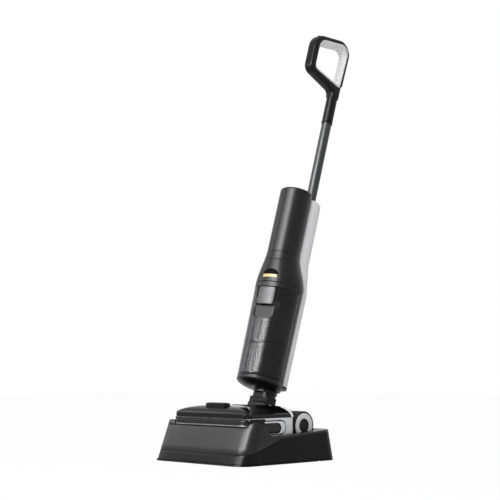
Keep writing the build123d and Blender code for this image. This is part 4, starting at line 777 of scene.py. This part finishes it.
@dataclass
class Hood(Assembly):
    """Removable glossy hood with its ribbed sliding latch."""

    half_x: float = 128.0
    front: float = -120.0
    side_y: float = -106.0
    rear_y: float = -42.0
    rear_half: float = 30.0
    low: float = 106.3
    side_top: float = 111.0
    top: float = 136.0
    edge: float = 1.6
    shoulder_x: float = 30.0
    shoulder_y: float = -72.0
    latch: tuple = (-34.0, 34.0, -104.0, -80.0)
    latch_travel: float = 8.0
    latch_floor: float = 127.9
    latch_top: float = 141.5
    latch_corner: float = 6.0
    clearance: float = 0.3
    sink_run: float = 1.2
    ribs: int = 11
    rib_half: float = 1.1
    rib_inset: float = 4.0
    body = "hood"

    def crown(self, flat: Array) -> Array:
        """Height of the top: the lower of two quarter ellipses, one towards the sides and one to the front."""
        aside = np.clip((np.abs(flat[:, 0]) - self.shoulder_x) / (self.half_x - self.shoulder_x), 0, 1)
        ahead = np.clip((self.shoulder_y - flat[:, 1]) / (self.shoulder_y - self.front), 0, 1)
        heights = [self.side_top + (self.top - self.side_top) * np.sqrt(1 - run * run) for run in (aside, ahead)]
        return soft_least(*heights, sharpness=60.0)

    def outline(self, inset: float) -> Array:
        """The hood's plan, drawn in by an inset."""
        half, rear = self.half_x, self.rear_half
        corners = [(-half, self.front), (half, self.front), (half, self.side_y), (rear, self.rear_y),
                   (-rear, self.rear_y), (-half, self.side_y)]
        return rounded_outline(corners, [13.5, 13.5, 3.0, 10.0, 10.0, 3.0], inset, 14, 30)

    def shell(self) -> None:
        """Domed top over a short upright side, sunk round the latch."""
        x0, x1, y0, y1 = self.latch
        y1 += self.latch_travel
        plan = self.outline(0.0)
        rings = [at_level(plan, self.low), at_level(plan, self.side_top - self.edge)]
        for inset, drop in edge_steps(self.edge):
            flat = self.outline(inset)
            rings.append(at_level(flat, self.crown(flat) - drop))
        last, middle, corner = rings[-1][:, :2], np.array([0.0, (y0 + y1) / 2]), self.latch_corner
        for s in np.concatenate([np.linspace(0.98, 0.5, 24), np.linspace(0.485, 0.03, 60)]):
            flat = middle + (last - middle) * s
            away = np.abs(flat - middle) - np.array([(x1 - x0) / 2, (y1 - y0) / 2]) + corner
            distance = np.hypot(*np.maximum(away, 0).T) + np.minimum(away.max(1), 0) - corner
            height = self.crown(flat)
            sink = smooth(-distance / self.sink_run) * np.minimum(self.latch_floor - self.clearance - height, 0)
            rings.append(at_level(flat, height + sink))
        self.piece("roller_hood_shell", lofted(rings), [BLACK_GLOSS], "roller_hood", "black_gloss", 35)

    def slide(self) -> None:
        """Latch: a rounded pad with a row of ridges across its top."""
        x0, x1, y0, y1 = self.latch
        corner, gap, top, half, end = self.latch_corner, self.clearance, self.latch_top, self.rib_half, self.rib_inset
        parts = [pillow(rectangle(x0 + gap, x1 - gap, y0 + gap, y1), corner, self.latch_floor, top - 0.9, 2.0,
                        side=10)]
        pitch = (x1 - x0 - 2 * corner) / self.ribs
        for x in x0 + corner + pitch * (np.arange(self.ribs) + 0.5):
            parts.append(pillow(rectangle(x - half, x + half, y0 + end, y1 - end), half - 0.05, top - 1.0, top, 0.7,
                                arc=5))
        self.piece("hood_latch_slider", joined(parts), [BLACK_SATIN], "hood_latch", "black_gloss",
                   body="hood_latch")

    def build(self) -> None:
        """Make the hood and its latch."""
        self.shell()
        self.slide()


@dataclass
class Roller(Assembly):
    """Pile sleeve on the roller, its surface waved by a spiral lay."""

    place: tuple = (0.0, -75.0, 84.0)
    outer: float = 34.0
    bore: float = 22.05
    half_x: float = 112.0
    end: float = 2.0
    wave: float = 0.4
    starts: int = 6
    lead: float = 18.0
    count: int = 120
    body = "roller"

    def build(self) -> None:
        """Sleeve turned about the roller's axis; the lay follows sin(starts a + x turn / lead)."""
        x, r, e = self.half_x, self.outer, self.end
        profile = [(-x, self.bore), (-x, r - e), (e - x, r)]
        profile += [(along, r) for along in np.linspace(2 * e - x, x - 2 * e, 110)]
        profile += [(x - e, r), (x, r - e), (x, self.bore)]
        rings = turned(profile, self.count)
        a = np.linspace(0, TURN, self.count, endpoint=False)
        wave = 1 - self.wave / r * (0.5 + 0.5 * np.sin(self.starts * a + rings[..., 0] * TURN / self.lead))
        wave[[0, 1, -2, -1]] = 1
        rings[..., 1:] *= wave[..., None]
        self.piece("roller_pile", lofted(rings + self.place, closed=True), [PILE], "roller_sleeve",
                   "pile_fabric", 50)


@dataclass
class Wheels(Assembly):
    """Rear wheels: grooved tyres on light discs with a dark hub."""

    place: tuple = (0.0, 80.0, 84.6)
    radius: float = 35.0
    seat: float = 30.5
    inner_x: float = 88.0
    outer_x: float = 124.0
    hub: float = 16.0
    edge: float = 2.5
    grooves: tuple = (97.0, 106.0, 115.0)
    groove: tuple = ((-1.0, 0.0), (-0.7, 0.9), (0.7, 0.9), (1.0, 0.0))

    def tyre(self, side: int) -> Array:
        """Rings of a tyre turned from a profile with three grooves and rounded shoulders."""
        steps = edge_steps(self.edge, 6)
        profile = [(self.inner_x, self.seat)]
        profile += [(self.inner_x + i, self.radius - d) for d, i in steps[::-1]]
        profile += [(x + along, self.radius - deep) for x in self.grooves for along, deep in self.groove]
        profile += [(self.outer_x - i, self.radius - d) for d, i in steps] + [(self.outer_x, self.seat)]
        return (turned(profile, 128) + self.place) * (side, 1, 1)

    def disc(self, side: int) -> Shape:
        """Wheel disc: light ring, dark hub cap in its recess, boss and bore on the inside."""
        x, low, seat, hub = self.outer_x, self.inner_x, self.seat, self.hub
        profile = [(x - 5.5, 0.3, 1), (x - 5.5, 5.05, 1), (low - 10, 5.05, 0), (low - 10, 9.0, 0),
                   (x - 12, 9.0, 0), (x - 12, seat - 5, 0), (low, seat - 5, 0), (low, seat - 0.05, 0),
                   (x - 0.8, seat - 0.05, 0), (x - 0.2, seat - 0.4, 0), (x, seat - 1.2, 0), (x, hub + 1.0, 0),
                   (x - 0.3, hub + 0.3, 1), (x - 1.6, hub, 1), (x - 1.5, hub - 0.6, 1), (x - 0.7, hub - 1.6, 1),
                   (x - 0.5, 6.0, 1), (x - 0.7, 4.5, 1), (x - 0.9, 0.3, 1)]
        rings = (turned([p[:2] for p in profile]) + self.place) * (side, 1, 1)
        return lofted(rings, bands=[p[2] for p in profile][1:])

    def build(self) -> None:
        """Make both wheels."""
        for side in (-1, 1):
            name = SIDES[side]
            self.piece(f"tyre_{name}", lofted(self.tyre(side), closed=True), [RUBBER],
                       f"wheel_tyre_{name}", "tyre_rubber", 35, f"wheel_{name}")
            self.piece(f"wheel_disc_{name}", self.disc(side), [LIGHT_GREY, BLACK_SATIN],
                       f"wheel_rim_{name}", "light_grey", 35, f"wheel_{name}")


# ---- upright body ----

@dataclass
class Body(Assembly):
    """Skin of the upright body and the pieces that share it."""

    cup: tuple = (-22.5, 58.5)
    tank: tuple = (-23.1, 62.0)
    column: tuple = (-34.7, 42.0)
    cup_top: float = 62.5
    tank_top: float = 304.5
    shoulder_top: float = 366.5
    waist_top: float = 389.5
    flare_top: float = 401.0
    body_top: float = 568.0
    top_edge: float = 5.0
    back: float = 26.0
    column_back: float = 99.0
    split: float = -2.0
    gap: float = 0.3
    wall: float = 2.5
    lid_height: float = 14.0
    neck_v: float = 5.0
    collar_r: float = 30.0
    collar_low: float = 33.5
    bore: float = 20.05
    bowl: tuple = (3.5, 7.8, 14.5)
    cup_rim: tuple = ((-3.0, 0.0), (-2.4, 0.5), (-2.3, 1.7), (0.0, 1.9), (0.0, 6.0), (-9.0, 6.0))
    turn: float = 15.0
    recess_reach: float = 0.53
    latch: tuple = (-24.0, 24.0, 244.0, 290.0)
    recess_half: float = 27.5
    recess_u: tuple = (208.0, 291.5)
    recess_foot: float = 14.0
    recess_v: float = -73.0
    recess_slope: float = 1.6
    strainer_seam: float = 145.0
    seam_deep: float = 0.45
    seam_wide: float = 0.5
    bar: tuple = (-20.0, 20.0, 315.5, 323.5)
    window_top: float = 339.0
    window_half: float = 22.0
    pole_v: float = 21.8
    socket_r: float = 15.45
    socket_u: tuple = (470.0, 552.0)
    body = "upright"
    lean = True

    def skin(self, u: Array) -> tuple:
        """Centre and radius of the skin: straight up the tank, then an eased flare to the column."""
        t = np.clip((u - self.cup_top) / (self.tank_top - self.cup_top), 0, 1)
        s = smooth((u - self.tank_top) / (self.flare_top - self.tank_top))
        return tuple(c + t * (k - c) + s * (p - k) for c, k, p in zip(self.cup, self.tank, self.column))

    def angles(self, dense: int = 0) -> Array:
        """Angles round the body from the back, with extra ones across the latch recess where asked."""
        even = np.linspace(-math.pi, math.pi, 181)[:-1]
        if not dense:
            return even
        low, high = (math.radians(self.turn) + way * self.recess_reach for way in (-1, 1))
        return np.concatenate([even[even < low], np.linspace(low, high, dense), even[even > high]])

    def turned_front(self, points: Array, way: float = 1.0) -> Array:
        """Carry points round the tank's axis to the turned front, or back from it."""
        a = math.radians(self.turn) * way
        x, v = points[..., 0], points[..., 1] - self.tank[0]
        return np.stack([x * math.cos(a) - v * math.sin(a),
                         self.tank[0] + x * math.sin(a) + v * math.cos(a), points[..., 2]], -1)

    def cut_circle(self, v: float, r: float, back: float, u: float, angles: Array) -> Array:
        """Ring at a height: a circle cut flat at the back, with a rounded corner between the two."""
        reach = soft_least(r, (back - v) / np.maximum(-np.cos(angles), 1e-3), sharpness=48.0)
        return around(reach, angles, v, u)

    def section(self, u: float, inset: float = 0.0, back: float = None, angles: Array = None) -> Array:
        """The skin's section at a height, drawn in by an inset."""
        v, r = self.skin(u)
        back = self.back if back is None else back
        return self.cut_circle(v, r - inset, back - inset, u, self.angles() if angles is None else angles)

    def hoop(self, name: str, node: str, u0: float, u1: float, count: int, edge: float = 0.6) -> None:
        """Closed wall between two heights with eased rims, from the bottom rim outside to inside."""
        steps = [(u0, edge)] + [(u, 0.0) for u in np.linspace(u0 + edge, u1 - edge, count)] + [(u1, edge)]
        steps += [(u, self.wall) for u in np.linspace(u1, u0, count // 2)]
        self.piece(name, lofted([self.section(*step) for step in steps], closed=True), [CHARCOAL], node,
                   "charcoal_plastic")

    def base_cup(self) -> None:
        """Bowl: the radius grows with the sine and the height with one less the cosine, then a short rim."""
        (v1, r1), low, v0, r0, a = self.cup, self.collar_low, self.neck_v, self.collar_r, self.angles()
        wider, start, deep = self.bowl
        rings = [around(r, a, v0, low + rise) for r, rise in ((self.bore, 0), (r0 - 1, 0), (r0, 1), (r0, 7.6))]
        r0 += wider
        for t in np.linspace(0, math.pi / 2, 14):
            out = math.sin(t)
            rings.append(self.cut_circle(v0 + (v1 - v0) * out, r0 + (r1 - r0) * out, self.back,
                                         low + start + deep * (1 - math.cos(t)), a))
        rings += [self.section(self.cup_top + rise, inset) for rise, inset in self.cup_rim]
        rings += [around(r, a, v0, self.cup_top + self.cup_rim[-1][0]) for r in (self.bore + 6, self.bore)]
        self.piece("base_cup_bowl", lofted(rings, closed=True), [CHARCOAL], "base_cup", "black_gloss")

    def recess_depth(self, points: Array) -> Array:
        """How far a point lies inside the recess outline: a rectangle with rounded foot corners."""
        r, u = self.recess_foot, points[:, 2]
        over = np.maximum(np.abs(points[:, 0]) - (self.recess_half - r), 0)
        under = np.maximum(self.recess_u[0] + r - u, 0)
        foot = np.where(under > 0, r - np.hypot(over, under), r - over)
        return np.minimum(foot, self.recess_u[1] - u)

    def tank_ring(self, u: float, inset: float, angles: Array) -> Array:
        """Tank section at a height: the cut circle, pushed back to the recess floor inside its outline."""
        ring = self.turned_front(self.section(u, inset, self.split, angles), -1.0)
        depth = smooth((self.recess_depth(ring) + inset) / self.recess_slope) * (ring[:, 1] < self.recess_v)
        ring[:, 1] += depth * np.maximum(self.recess_v + inset - ring[:, 1], 0)
        return self.turned_front(ring)

    def dirty_tank(self) -> None:
        """Clear tank: outside up, over the rim, inside down, with a recess for the latch and a seam line; the recess
        floor round the latch is painted black as the shade in the latch's gap.
        """
        u0, u1 = self.cup_top + self.gap, self.tank_top - self.lid_height
        r0, seam = self.recess_u[0], self.strainer_seam
        levels = np.concatenate([np.linspace(u0 + 1.2, seam - 1.2, 12), seam + np.array([-0.6, -0.2, 0.2, 0.6]),
                                 np.linspace(seam + 1.2, r0 - 3, 8), np.linspace(r0 - 1, r0 + 18, 40),
                                 np.linspace(r0 + 19.5, u1 - 0.8, 30)])
        steps = [(u0, 3.0), (u0, 1.0), (u0 + 0.35, 0.3)]
        steps += list(zip(levels, self.seam_deep * np.exp(-((levels - seam) / self.seam_wide) ** 2)))
        steps += [(u1 - 0.2, 0.2), (u1, 0.8), (u1, self.wall)]
        steps += [(u, self.wall) for u in levels[::-1][:-1] if u > u0 + self.wall]
        steps += [(u0 + self.wall, self.wall + 1.0)]
        a = self.angles(96)
        shape = lofted([self.tank_ring(u, inset, a) for u, inset in steps])
        place = self.turned_front(shape.points[shape.quads].mean(1), -1.0)
        deep = (self.recess_depth(place) > 0.9) & (place[:, 1] < self.recess_v + 6)
        deep &= np.hypot(place[:, 0], place[:, 1] - self.tank[0]) < self.tank[1] - 0.5
        # painted shade: the recess floor round the latch, seen through its gap, takes the window's black
        shape.quad_finish = np.where(deep, np.where(place[:, 2] > self.latch[2] - 1.5, 2, 1), 0)
        self.piece("dirty_tank_clear_shell", shape, [SMOKE, SCOOP, WINDOW_AND_GAP_SHADE],
                   "dirty_tank_shell", "smoky_clear", 50, "dirty_tank")

    def tank_lid(self) -> None:
        """Lid: the tank's section carried on up, closed above."""
        u0, u1, a = self.tank_top - self.lid_height + self.gap, self.tank_top - self.gap, self.angles(96)
        steps = [(u0, 6.0), (u0, 1.0), (u0 + 0.3, 0.25)]
        steps += [(u, 0.0) for u in (*np.linspace(u0 + 0.8, u0 + 4.2, 8), *np.linspace(u0 + 5, u1 - 1, 4))]
        steps += [(u1 - 0.3, 0.3), (u1, 1.0), (u1, 8.0)]
        self.piece("dirty_tank_lid_cover", lofted([self.tank_ring(u, inset, a) for u, inset in steps]),
                   [CHARCOAL], "dirty_tank_lid", "charcoal_plastic", body="dirty_tank")

    def rear_frame(self) -> None:
        """Dark frame behind the tank: the part of the cut circle behind the split plane."""
        u0, u1, front, a = self.cup_top + self.gap, self.tank_top, self.split + self.gap, self.angles()
        middle, sine, cosine = (front + self.back) / 2, np.sin(a), -np.cos(a)
        steps = [(u0, 1.2), (u0 + 0.35, 0.35)] + [(u, 0.0) for u in np.linspace(u0 + 1.2, u1 - 1.2, 14)]
        rings = []
        for u, inset in steps + [(u1 - 0.35, 0.35), (u1, 1.2)]:
            v, r = self.skin(u)
            off = middle - v
            circle = -off * cosine + np.sqrt(np.maximum((r - inset) ** 2 - (off * sine) ** 2, 0))
            plane = np.where(cosine > 0, self.back - middle, middle - front) - inset
            reach = soft_least(circle, plane / np.maximum(np.abs(cosine), 1e-3), sharpness=60.0)
            rings.append(around(reach, a, middle, u))
        self.piece("rear_frame_shell", lofted(rings), [CHARCOAL], "rear_frame", "charcoal_plastic")

    def patch(self, corners: Array, radii: Array, proud: float, thick: float, edge: float, arc: int = 8,
              side: int = 8) -> Shape:
        """Plate that follows the turned front of the skin.

        Outlines in (x, u) grow from the middle of the back, shrink over a rounded edge and then to the
        middle of the face; each point lies at the centre less the root of (radius squared - x squared).

        Args:
            corners, radii: the plate's plan in (x, u).
            proud, thick: its face's height above the skin and its thickness.
            edge: radius of the face's edge.
            arc, side: density of the outline.
        Returns:
            The plate.
        """
        steps = [(0.0, proud - thick)] + [(inset, proud - drop) for inset, drop in edge_steps(edge)]
        plans = [(rounded_outline(corners, radii, inset, arc, side), height) for inset, height in steps]
        first, last = plans[0][0], plans[-1][0]
        middle = last.mean(0)
        plans = [(middle + (first - middle) * s, proud - thick) for s in (0.03, 0.5)] + plans
        plans += [(middle + (last - middle) * s, proud) for s in (0.8, 0.6, 0.4, 0.2, 0.03)]
        rings = []
        for plan, height in plans:
            v, r = self.skin(plan[:, 1])
            front = v - np.sqrt(np.maximum((r + height) ** 2 - plan[:, 0] ** 2, 0))
            rings.append(np.insert(plan, 1, front, axis=1))
        return lofted(self.turned_front(np.array(rings)))

    def latch_plate(self) -> None:
        """Silver press latch on the tank."""
        self.piece("tank_latch_plate", self.patch(rectangle(*self.latch), [6.0, 6.0, 4.0, 4.0], 0.3, 3.2, 1.8),
                   [SILVER], "tank_latch", "satin_grey", 45, "tank_latch")

    def window(self) -> None:
        """Dark arch above an amber bar on the shoulder."""
        low, a = self.bar[3], np.linspace(0, math.pi, 13)
        arch = np.column_stack([self.window_half * np.cos(a), low + (self.window_top - low) * np.sin(a)])
        self.piece("display_arch", self.patch(arch, 0.6, 0.35, 2.0, 0.4, 3, 2), [WINDOW_AND_GAP_SHADE],
                   "display_window", "black_gloss", 60)
        self.piece("amber_bar", self.patch(rectangle(*self.bar), 1.5, 0.3, 2.0, 0.5), [AMBER],
                   "light_bar", "amber_light", 60)

    def housing(self) -> None:
        """Column: the skin carried up to a flat top with a rounded edge, and the pole's socket behind it."""
        u0, u1 = self.waist_top + self.gap, self.body_top
        steps = [(u0, 8.0), (u0, 0.6)] + [(u, 0.0) for u in np.linspace(u0 + 0.6, u1 - self.top_edge, 30)]
        steps += [(u1 - drop, inset) for inset, drop in edge_steps(self.top_edge, 7)]
        steps += [(u1 - 0.3, 12.0), (u1 - 0.4, 36.0)]
        column = lofted([self.section(u, inset, self.column_back) for u, inset in steps])
        a = np.linspace(0, TURN, 72, endpoint=False)
        stretch = np.where(np.cos(a) < 0, 1.25, 1.0)
        (low, high), rings = self.socket_u, []
        for u, inset in ((low, 4.0), (low + 1.2, 1.2), (low + 4.0, 0.0), (high - 1.0, 0.0), (high, 1.0),
                         (high, 2.0), (high - 6.0, 2.0)):
            r = self.socket_r - inset
            rings.append(np.column_stack([r * np.sin(a), self.pole_v + r * np.cos(a) * stretch, np.full(len(a), u)]))
        self.piece("motor_column", joined([column, lofted(rings)]), [CHARCOAL], "motor_housing",
                   "charcoal_plastic")

    def build(self) -> None:
        """Make the body from the cup upwards."""
        self.base_cup()
        self.rear_frame()
        self.dirty_tank()
        self.tank_lid()
        self.latch_plate()
        self.hoop("shoulder_skin", "shoulder_shell", self.tank_top + self.gap, self.shoulder_top, 24)
        self.window()
        self.hoop("waist_band", "waist_ring", self.shoulder_top + self.gap, self.waist_top, 10)
        self.housing()


# ---- pole and handle ----

@dataclass
class Handle(Assembly):
    """Pole, ring, loop handle, liner and buttons; each outline of the loop is (corners, radii) in (v, u)."""

    pole_v: float = 21.8
    pole_r: float = 13.25
    pole_u: tuple = (475.0, 842.0)
    ring_r: float = 15.25
    ring_u: tuple = (793.0, 797.0)
    half_x: float = 15.0
    sleeve_r: float = 14.65
    sleeve_u: tuple = (797.1, 884.0)
    centre: tuple = (12.0, 965.0)
    outer: tuple = (((8.55, 868.0), (35.05, 868.0), (35.65, 915.0), (44.0, 1049.0), (-95.0, 1007.0),
                     (-95.0, 903.5), (6.0, 885.0)), (1.0, 1.0, 20.0, 34.0, 40.0, 24.0, 12.0))
    inner: tuple = (((33.0, 901.0), (38.0, 1036.0), (-78.0, 1000.0), (-78.0, 913.0)), (13.0, 26.0, 30.0, 13.0))
    hole: tuple = (((26.0, 908.0), (29.0, 1019.0), (-76.0, 987.0), (-76.0, 918.0)), (10.0, 18.0, 26.0, 12.0))
    corner_r: float = 38.0
    corner: tuple = (-57.0, 979.6)
    count: int = 320
    body = "upright"
    lean = True

    def tube(self, profile: list) -> Shape:
        """Closed ring about the pole's axis from (u, radius) pairs."""
        along, ahead, aside = np.moveaxis(turned(profile), -1, 0)
        return lofted(np.stack([aside, self.pole_v - ahead, along], -1), closed=True)

    def pole(self) -> None:
        """Pole with rolled ends, and the ring at its top with a nub at its front."""
        (u0, u1), r = self.pole_u, self.pole_r
        profile = [(u0, r - 1.3), (u0, r - 0.3), (u0 + 0.3, r)]
        profile += [(u, r) for u in np.linspace(u0 + 2, u1 - 2, 40)]
        profile += [(u1 - 0.3, r), (u1, r - 0.3), (u1, r - 1.3)]
        self.piece("pole_tube", self.tube(profile), [POLE], "pole", "pole_metal")
        (u0, u1), bore, r = self.ring_u, self.pole_r + 0.1, self.ring_r
        ring = self.tube([(u0, bore), (u0, r - 0.6), (u0 + 0.6, r), (u1 - 0.6, r), (u1, r - 0.6), (u1, bore)])
        nub = pillow(rectangle(-3, 3, self.pole_v - r - 2, self.pole_v - r + 2), 1.5, u0, u1, 0.8, 0.8)
        self.piece("pole_collar", joined([ring, nub]), [BLACK_SATIN], "pole_ring", "black_gloss")

    def dense(self, line: tuple, inset: float = 0.0) -> Array:
        """A finely drawn outline, measured from the loop's centre."""
        return rounded_outline(*line, inset, 40, 60) - self.centre

    def polar(self, line: tuple, inset: float, angles: Array) -> Array:
        """Distance from the loop's centre to an outline, read at given angles."""
        outline = self.dense(line, inset)
        a, r = np.arctan2(outline[:, 1], outline[:, 0]), np.hypot(*outline.T)
        order = np.argsort(a)
        a, r = a[order], r[order]
        return np.interp(angles, np.concatenate([a - TURN, a, a + TURN]), np.tile(r, 3))

    def angles(self) -> Array:
        """Angles about the loop's centre at even steps along its outer outline."""
        outline = self.dense(self.outer)
        step = np.linalg.norm(np.roll(outline, -1, 0) - outline, axis=1)
        along, index = np.concatenate([[0], np.cumsum(step)[:-1]]), np.arange(len(outline))
        pick = np.interp(np.linspace(0, step.sum(), self.count, endpoint=False), along, index)
        v, u = (np.interp(pick, index, outline[:, k]) for k in (0, 1))
        return np.unique(np.arctan2(u, v))

    def band(self, outer: tuple, inner: tuple, half: float, outer_edge: float, inner_edge: float) -> Shape:
        """Closed band between two outlines: out at one face, round both edges, back at the other face."""
        a = self.angles()
        spoke = np.column_stack([np.cos(a), np.sin(a)])
        out, back = edge_steps(outer_edge, 7), edge_steps(inner_edge, 6)
        steps = [(outer, i, half - d) for i, d in out] + [(inner, -i, half - d) for i, d in back[::-1]]
        steps += [(inner, -i, d - half) for i, d in back] + [(outer, i, d - half) for i, d in out[::-1]]
        return lofted([across(self.centre + spoke * self.polar(line, inset, a)[:, None], x)
                       for line, inset, x in steps], closed=True)

    def loop(self) -> None:
        """Black loop band with a round neck sleeve, and the light liner round the finger opening."""
        (u0, u1), bore, r = self.sleeve_u, self.pole_r + 0.1, self.sleeve_r
        sleeve = self.tube([(u0, bore), (u0, r - 0.5), (u0 + 0.5, r)]
                           + [(u, r) for u in np.linspace(u0 + 5, u1 - 2, 16)] + [(u1, r - 2), (u1, bore)])
        loop = self.band(self.outer, self.inner, self.half_x, 7.5, 2.0)
        self.piece("handle_loop", joined([loop, sleeve]), [BLACK_SATIN], "handle_shell", "black_gloss", 45)
        liner = self.band(self.inner, self.hole, self.half_x - 1, 0.5, 2.5)
        self.piece("handle_liner_band", liner, [LINER_GREY], "handle_liner", "light_grey", 45)

    def button(self, name: str, angle: float, half_long: float, half_wide: float, finish: object) -> None:
        """Button: a long rounded plan with a domed top, set along the corner arc's own radius."""
        plan = rounded_outline(rectangle(-half_wide, half_wide, -half_long, half_long),
                               min(half_long, half_wide) - 0.05, 0, 10, 2)
        a = math.radians(angle)
        out, along = np.array([math.cos(a), math.sin(a)]), np.array([-math.sin(a), math.cos(a)])
        rings = []
        for scale, height in ((1.0, -3.4), (1.0, 0.2), (0.94, 0.55), (0.8, 0.75), (0.4, 0.8), (0.05, 0.8)):
            flat = self.corner + out * (self.corner_r + height) + along * plan[:, 1:] * scale
            rings.append(np.column_stack([plan[:, 0] * scale, flat]))
        self.piece(f"{name}_face", lofted(rings), [finish], name, "satin_grey", body=name)

    def build(self) -> None:
        """Make the pole, ring, loop, liner and buttons."""
        self.pole()
        self.loop()
        self.button("power_button", 122.0, 5.0, 2.2, SILVER)
        self.button("mode_button", 147.0, 3.0, 3.0, SATIN_GREY)


# ---- studio ----

class Light(Enum):
    """What a light shows."""

    SHEEN = "only its reflection in polished surfaces"
    COLOUR = "only the surfaces' own colours"
    BOTH = "colours and reflections"


@dataclass(frozen=True)
class Lamp:
    """A soft area light."""

    name: str
    place: tuple
    aim: tuple
    size: tuple
    power: float
    use: Light = Light.BOTH

    def build(self) -> None:
        """Hang the light and turn it to its aim."""
        data = bpy.data.lights.new(self.name, "AREA")
        data.shape = "RECTANGLE"
        data.size, data.size_y = self.size
        data.energy = self.power
        lamp = bpy.data.objects.new(self.name, data)
        lamp.location = self.place
        lamp.visible_diffuse = self.use is not Light.SHEEN
        lamp.visible_glossy = self.use is not Light.COLOUR
        lamp.rotation_euler = (Vector(self.aim) - Vector(self.place)).to_track_quat("-Z", "Y").to_euler()
        bpy.context.scene.collection.objects.link(lamp)


@dataclass
class Studio:
    """Camera, soft lights, pale floor and white surroundings."""

    camera_place: tuple = (2.14206, -2.10040, 0.23031)
    camera_yaw: float = 45.33
    camera_pitch: float = 5.47
    lens: float = 86.9
    ambient: float = 0.42
    floor_half: float = 6.0
    floor_share: float = 0.96
    lamps: tuple = (
        Lamp("front softbox", (0.54, -2.34, 2.12), (0, 0, 0.45), (1.35, 1.8), 188, Light.SHEEN),
        Lamp("side softbox", (-0.76, -2.28, 2.10), (0, 0, 0.4), (0.8, 1.75), 38, Light.SHEEN),
        Lamp("far softbox", (-1.25, -2.05, 1.40), (0, 0, 0.1), (1.2, 0.5), 14, Light.SHEEN),
        Lamp("low strip", (-0.35, -2.37, 1.15), (0, 0, 0.1), (0.9, 0.3), 24, Light.SHEEN),
        Lamp("key", (0.9, -2.4, 2.2), (0, 0, 0.4), (1.6, 1.6), 52, Light.COLOUR),
        Lamp("left fill", (-2.4, -1.1, 1.5), (0, 0, 0.5), (0.9, 1.6), 12),
        Lamp("overhead", (0.3, -0.2, 2.8), (0, 0, 0.4), (1.6, 1.6), 10),
    )

    def camera(self) -> None:
        """Put the camera in its place, level and unshifted."""
        data = bpy.data.cameras.new("camera")
        data.lens, data.sensor_width = self.lens, 36.0
        data.clip_start, data.clip_end = 0.05, 60.0
        camera = bpy.data.objects.new("camera", data)
        camera.location = self.camera_place
        camera.rotation_euler = Euler((math.radians(90 + self.camera_pitch), 0, math.radians(self.camera_yaw)))
        bpy.context.scene.collection.objects.link(camera)
        bpy.context.scene.camera = camera

    @staticmethod
    def seen(n: Nodes) -> object:
        """1 for rays that look at the background: straight, in a gloss or through something clear."""
        path = n.add("ShaderNodeLightPath", {}).outputs
        value = path["Is Camera Ray"]
        for kind in ("Is Transmission Ray", "Is Glossy Ray"):
            value = n.add("ShaderNodeMath", {0: value, 1: path[kind]}, operation="MAXIMUM").outputs[0]
        return value

    def world(self) -> None:
        """White to the eye, softer as a light."""
        world = bpy.data.worlds.new("studio")
        bpy.context.scene.world = world
        n = Nodes(world)
        strength = n.ranged(self.seen(n), self.ambient, 1.0, 0.0, 1.0)
        n.wire(n.tree.nodes["Background"], {"Color": (1, 1, 1, 1), "Strength": strength})

    def floor(self) -> None:
        """Pale floor that keeps a soft shadow."""
        corners = at_level(rectangle(*(self.floor_half * way for way in (-1, 1, -1, 1))), 0)
        mesh = bpy.data.meshes.new("floor")
        mesh.from_pydata(corners.tolist(), [], [range(len(corners))])
        mesh.materials.append(bpy.data.materials.new("floor paint"))
        n = Nodes(mesh.materials[0])
        n.shade(n.blended(n.noise(3, 3), grey(0.86), grey(0.9)), 0.9, Specular_IOR_Level=0.1)
        mix = n.add("ShaderNodeMixShader", {
            "Fac": n.ranged(self.seen(n), 0.0, self.floor_share, 0.0, 1.0), 1: n.shader.outputs["BSDF"],
            2: n.add("ShaderNodeEmission", {}).outputs["Emission"]})
        n.wire(n.tree.nodes["Material Output"], {"Surface": mix.outputs["Shader"]})
        floor = bpy.data.objects.new("floor", mesh)
        bpy.context.scene.collection.objects.link(floor)

    def build(self) -> None:
        """Set up the studio in place of the default scene's own objects."""
        for name in ("Cube", "Light", "Camera"):
            if name in bpy.data.objects:
                bpy.data.objects.remove(bpy.data.objects[name])
        self.camera()
        self.world()
        self.floor()
        for lamp in self.lamps:
            lamp.build()
        bpy.context.scene.view_settings.view_transform = "Standard"


def main() -> None:
    """Build every sub-assembly in order, then the studio."""
    logging.basicConfig(level=logging.INFO, format="%(name)s: %(message)s")
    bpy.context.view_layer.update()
    for part in (KeptNodes(), Dock(), Head(), Hood(), Roller(), Wheels(), Body(), Handle(), Studio()):
        part.build()


if __name__ == "__main__":
    main()
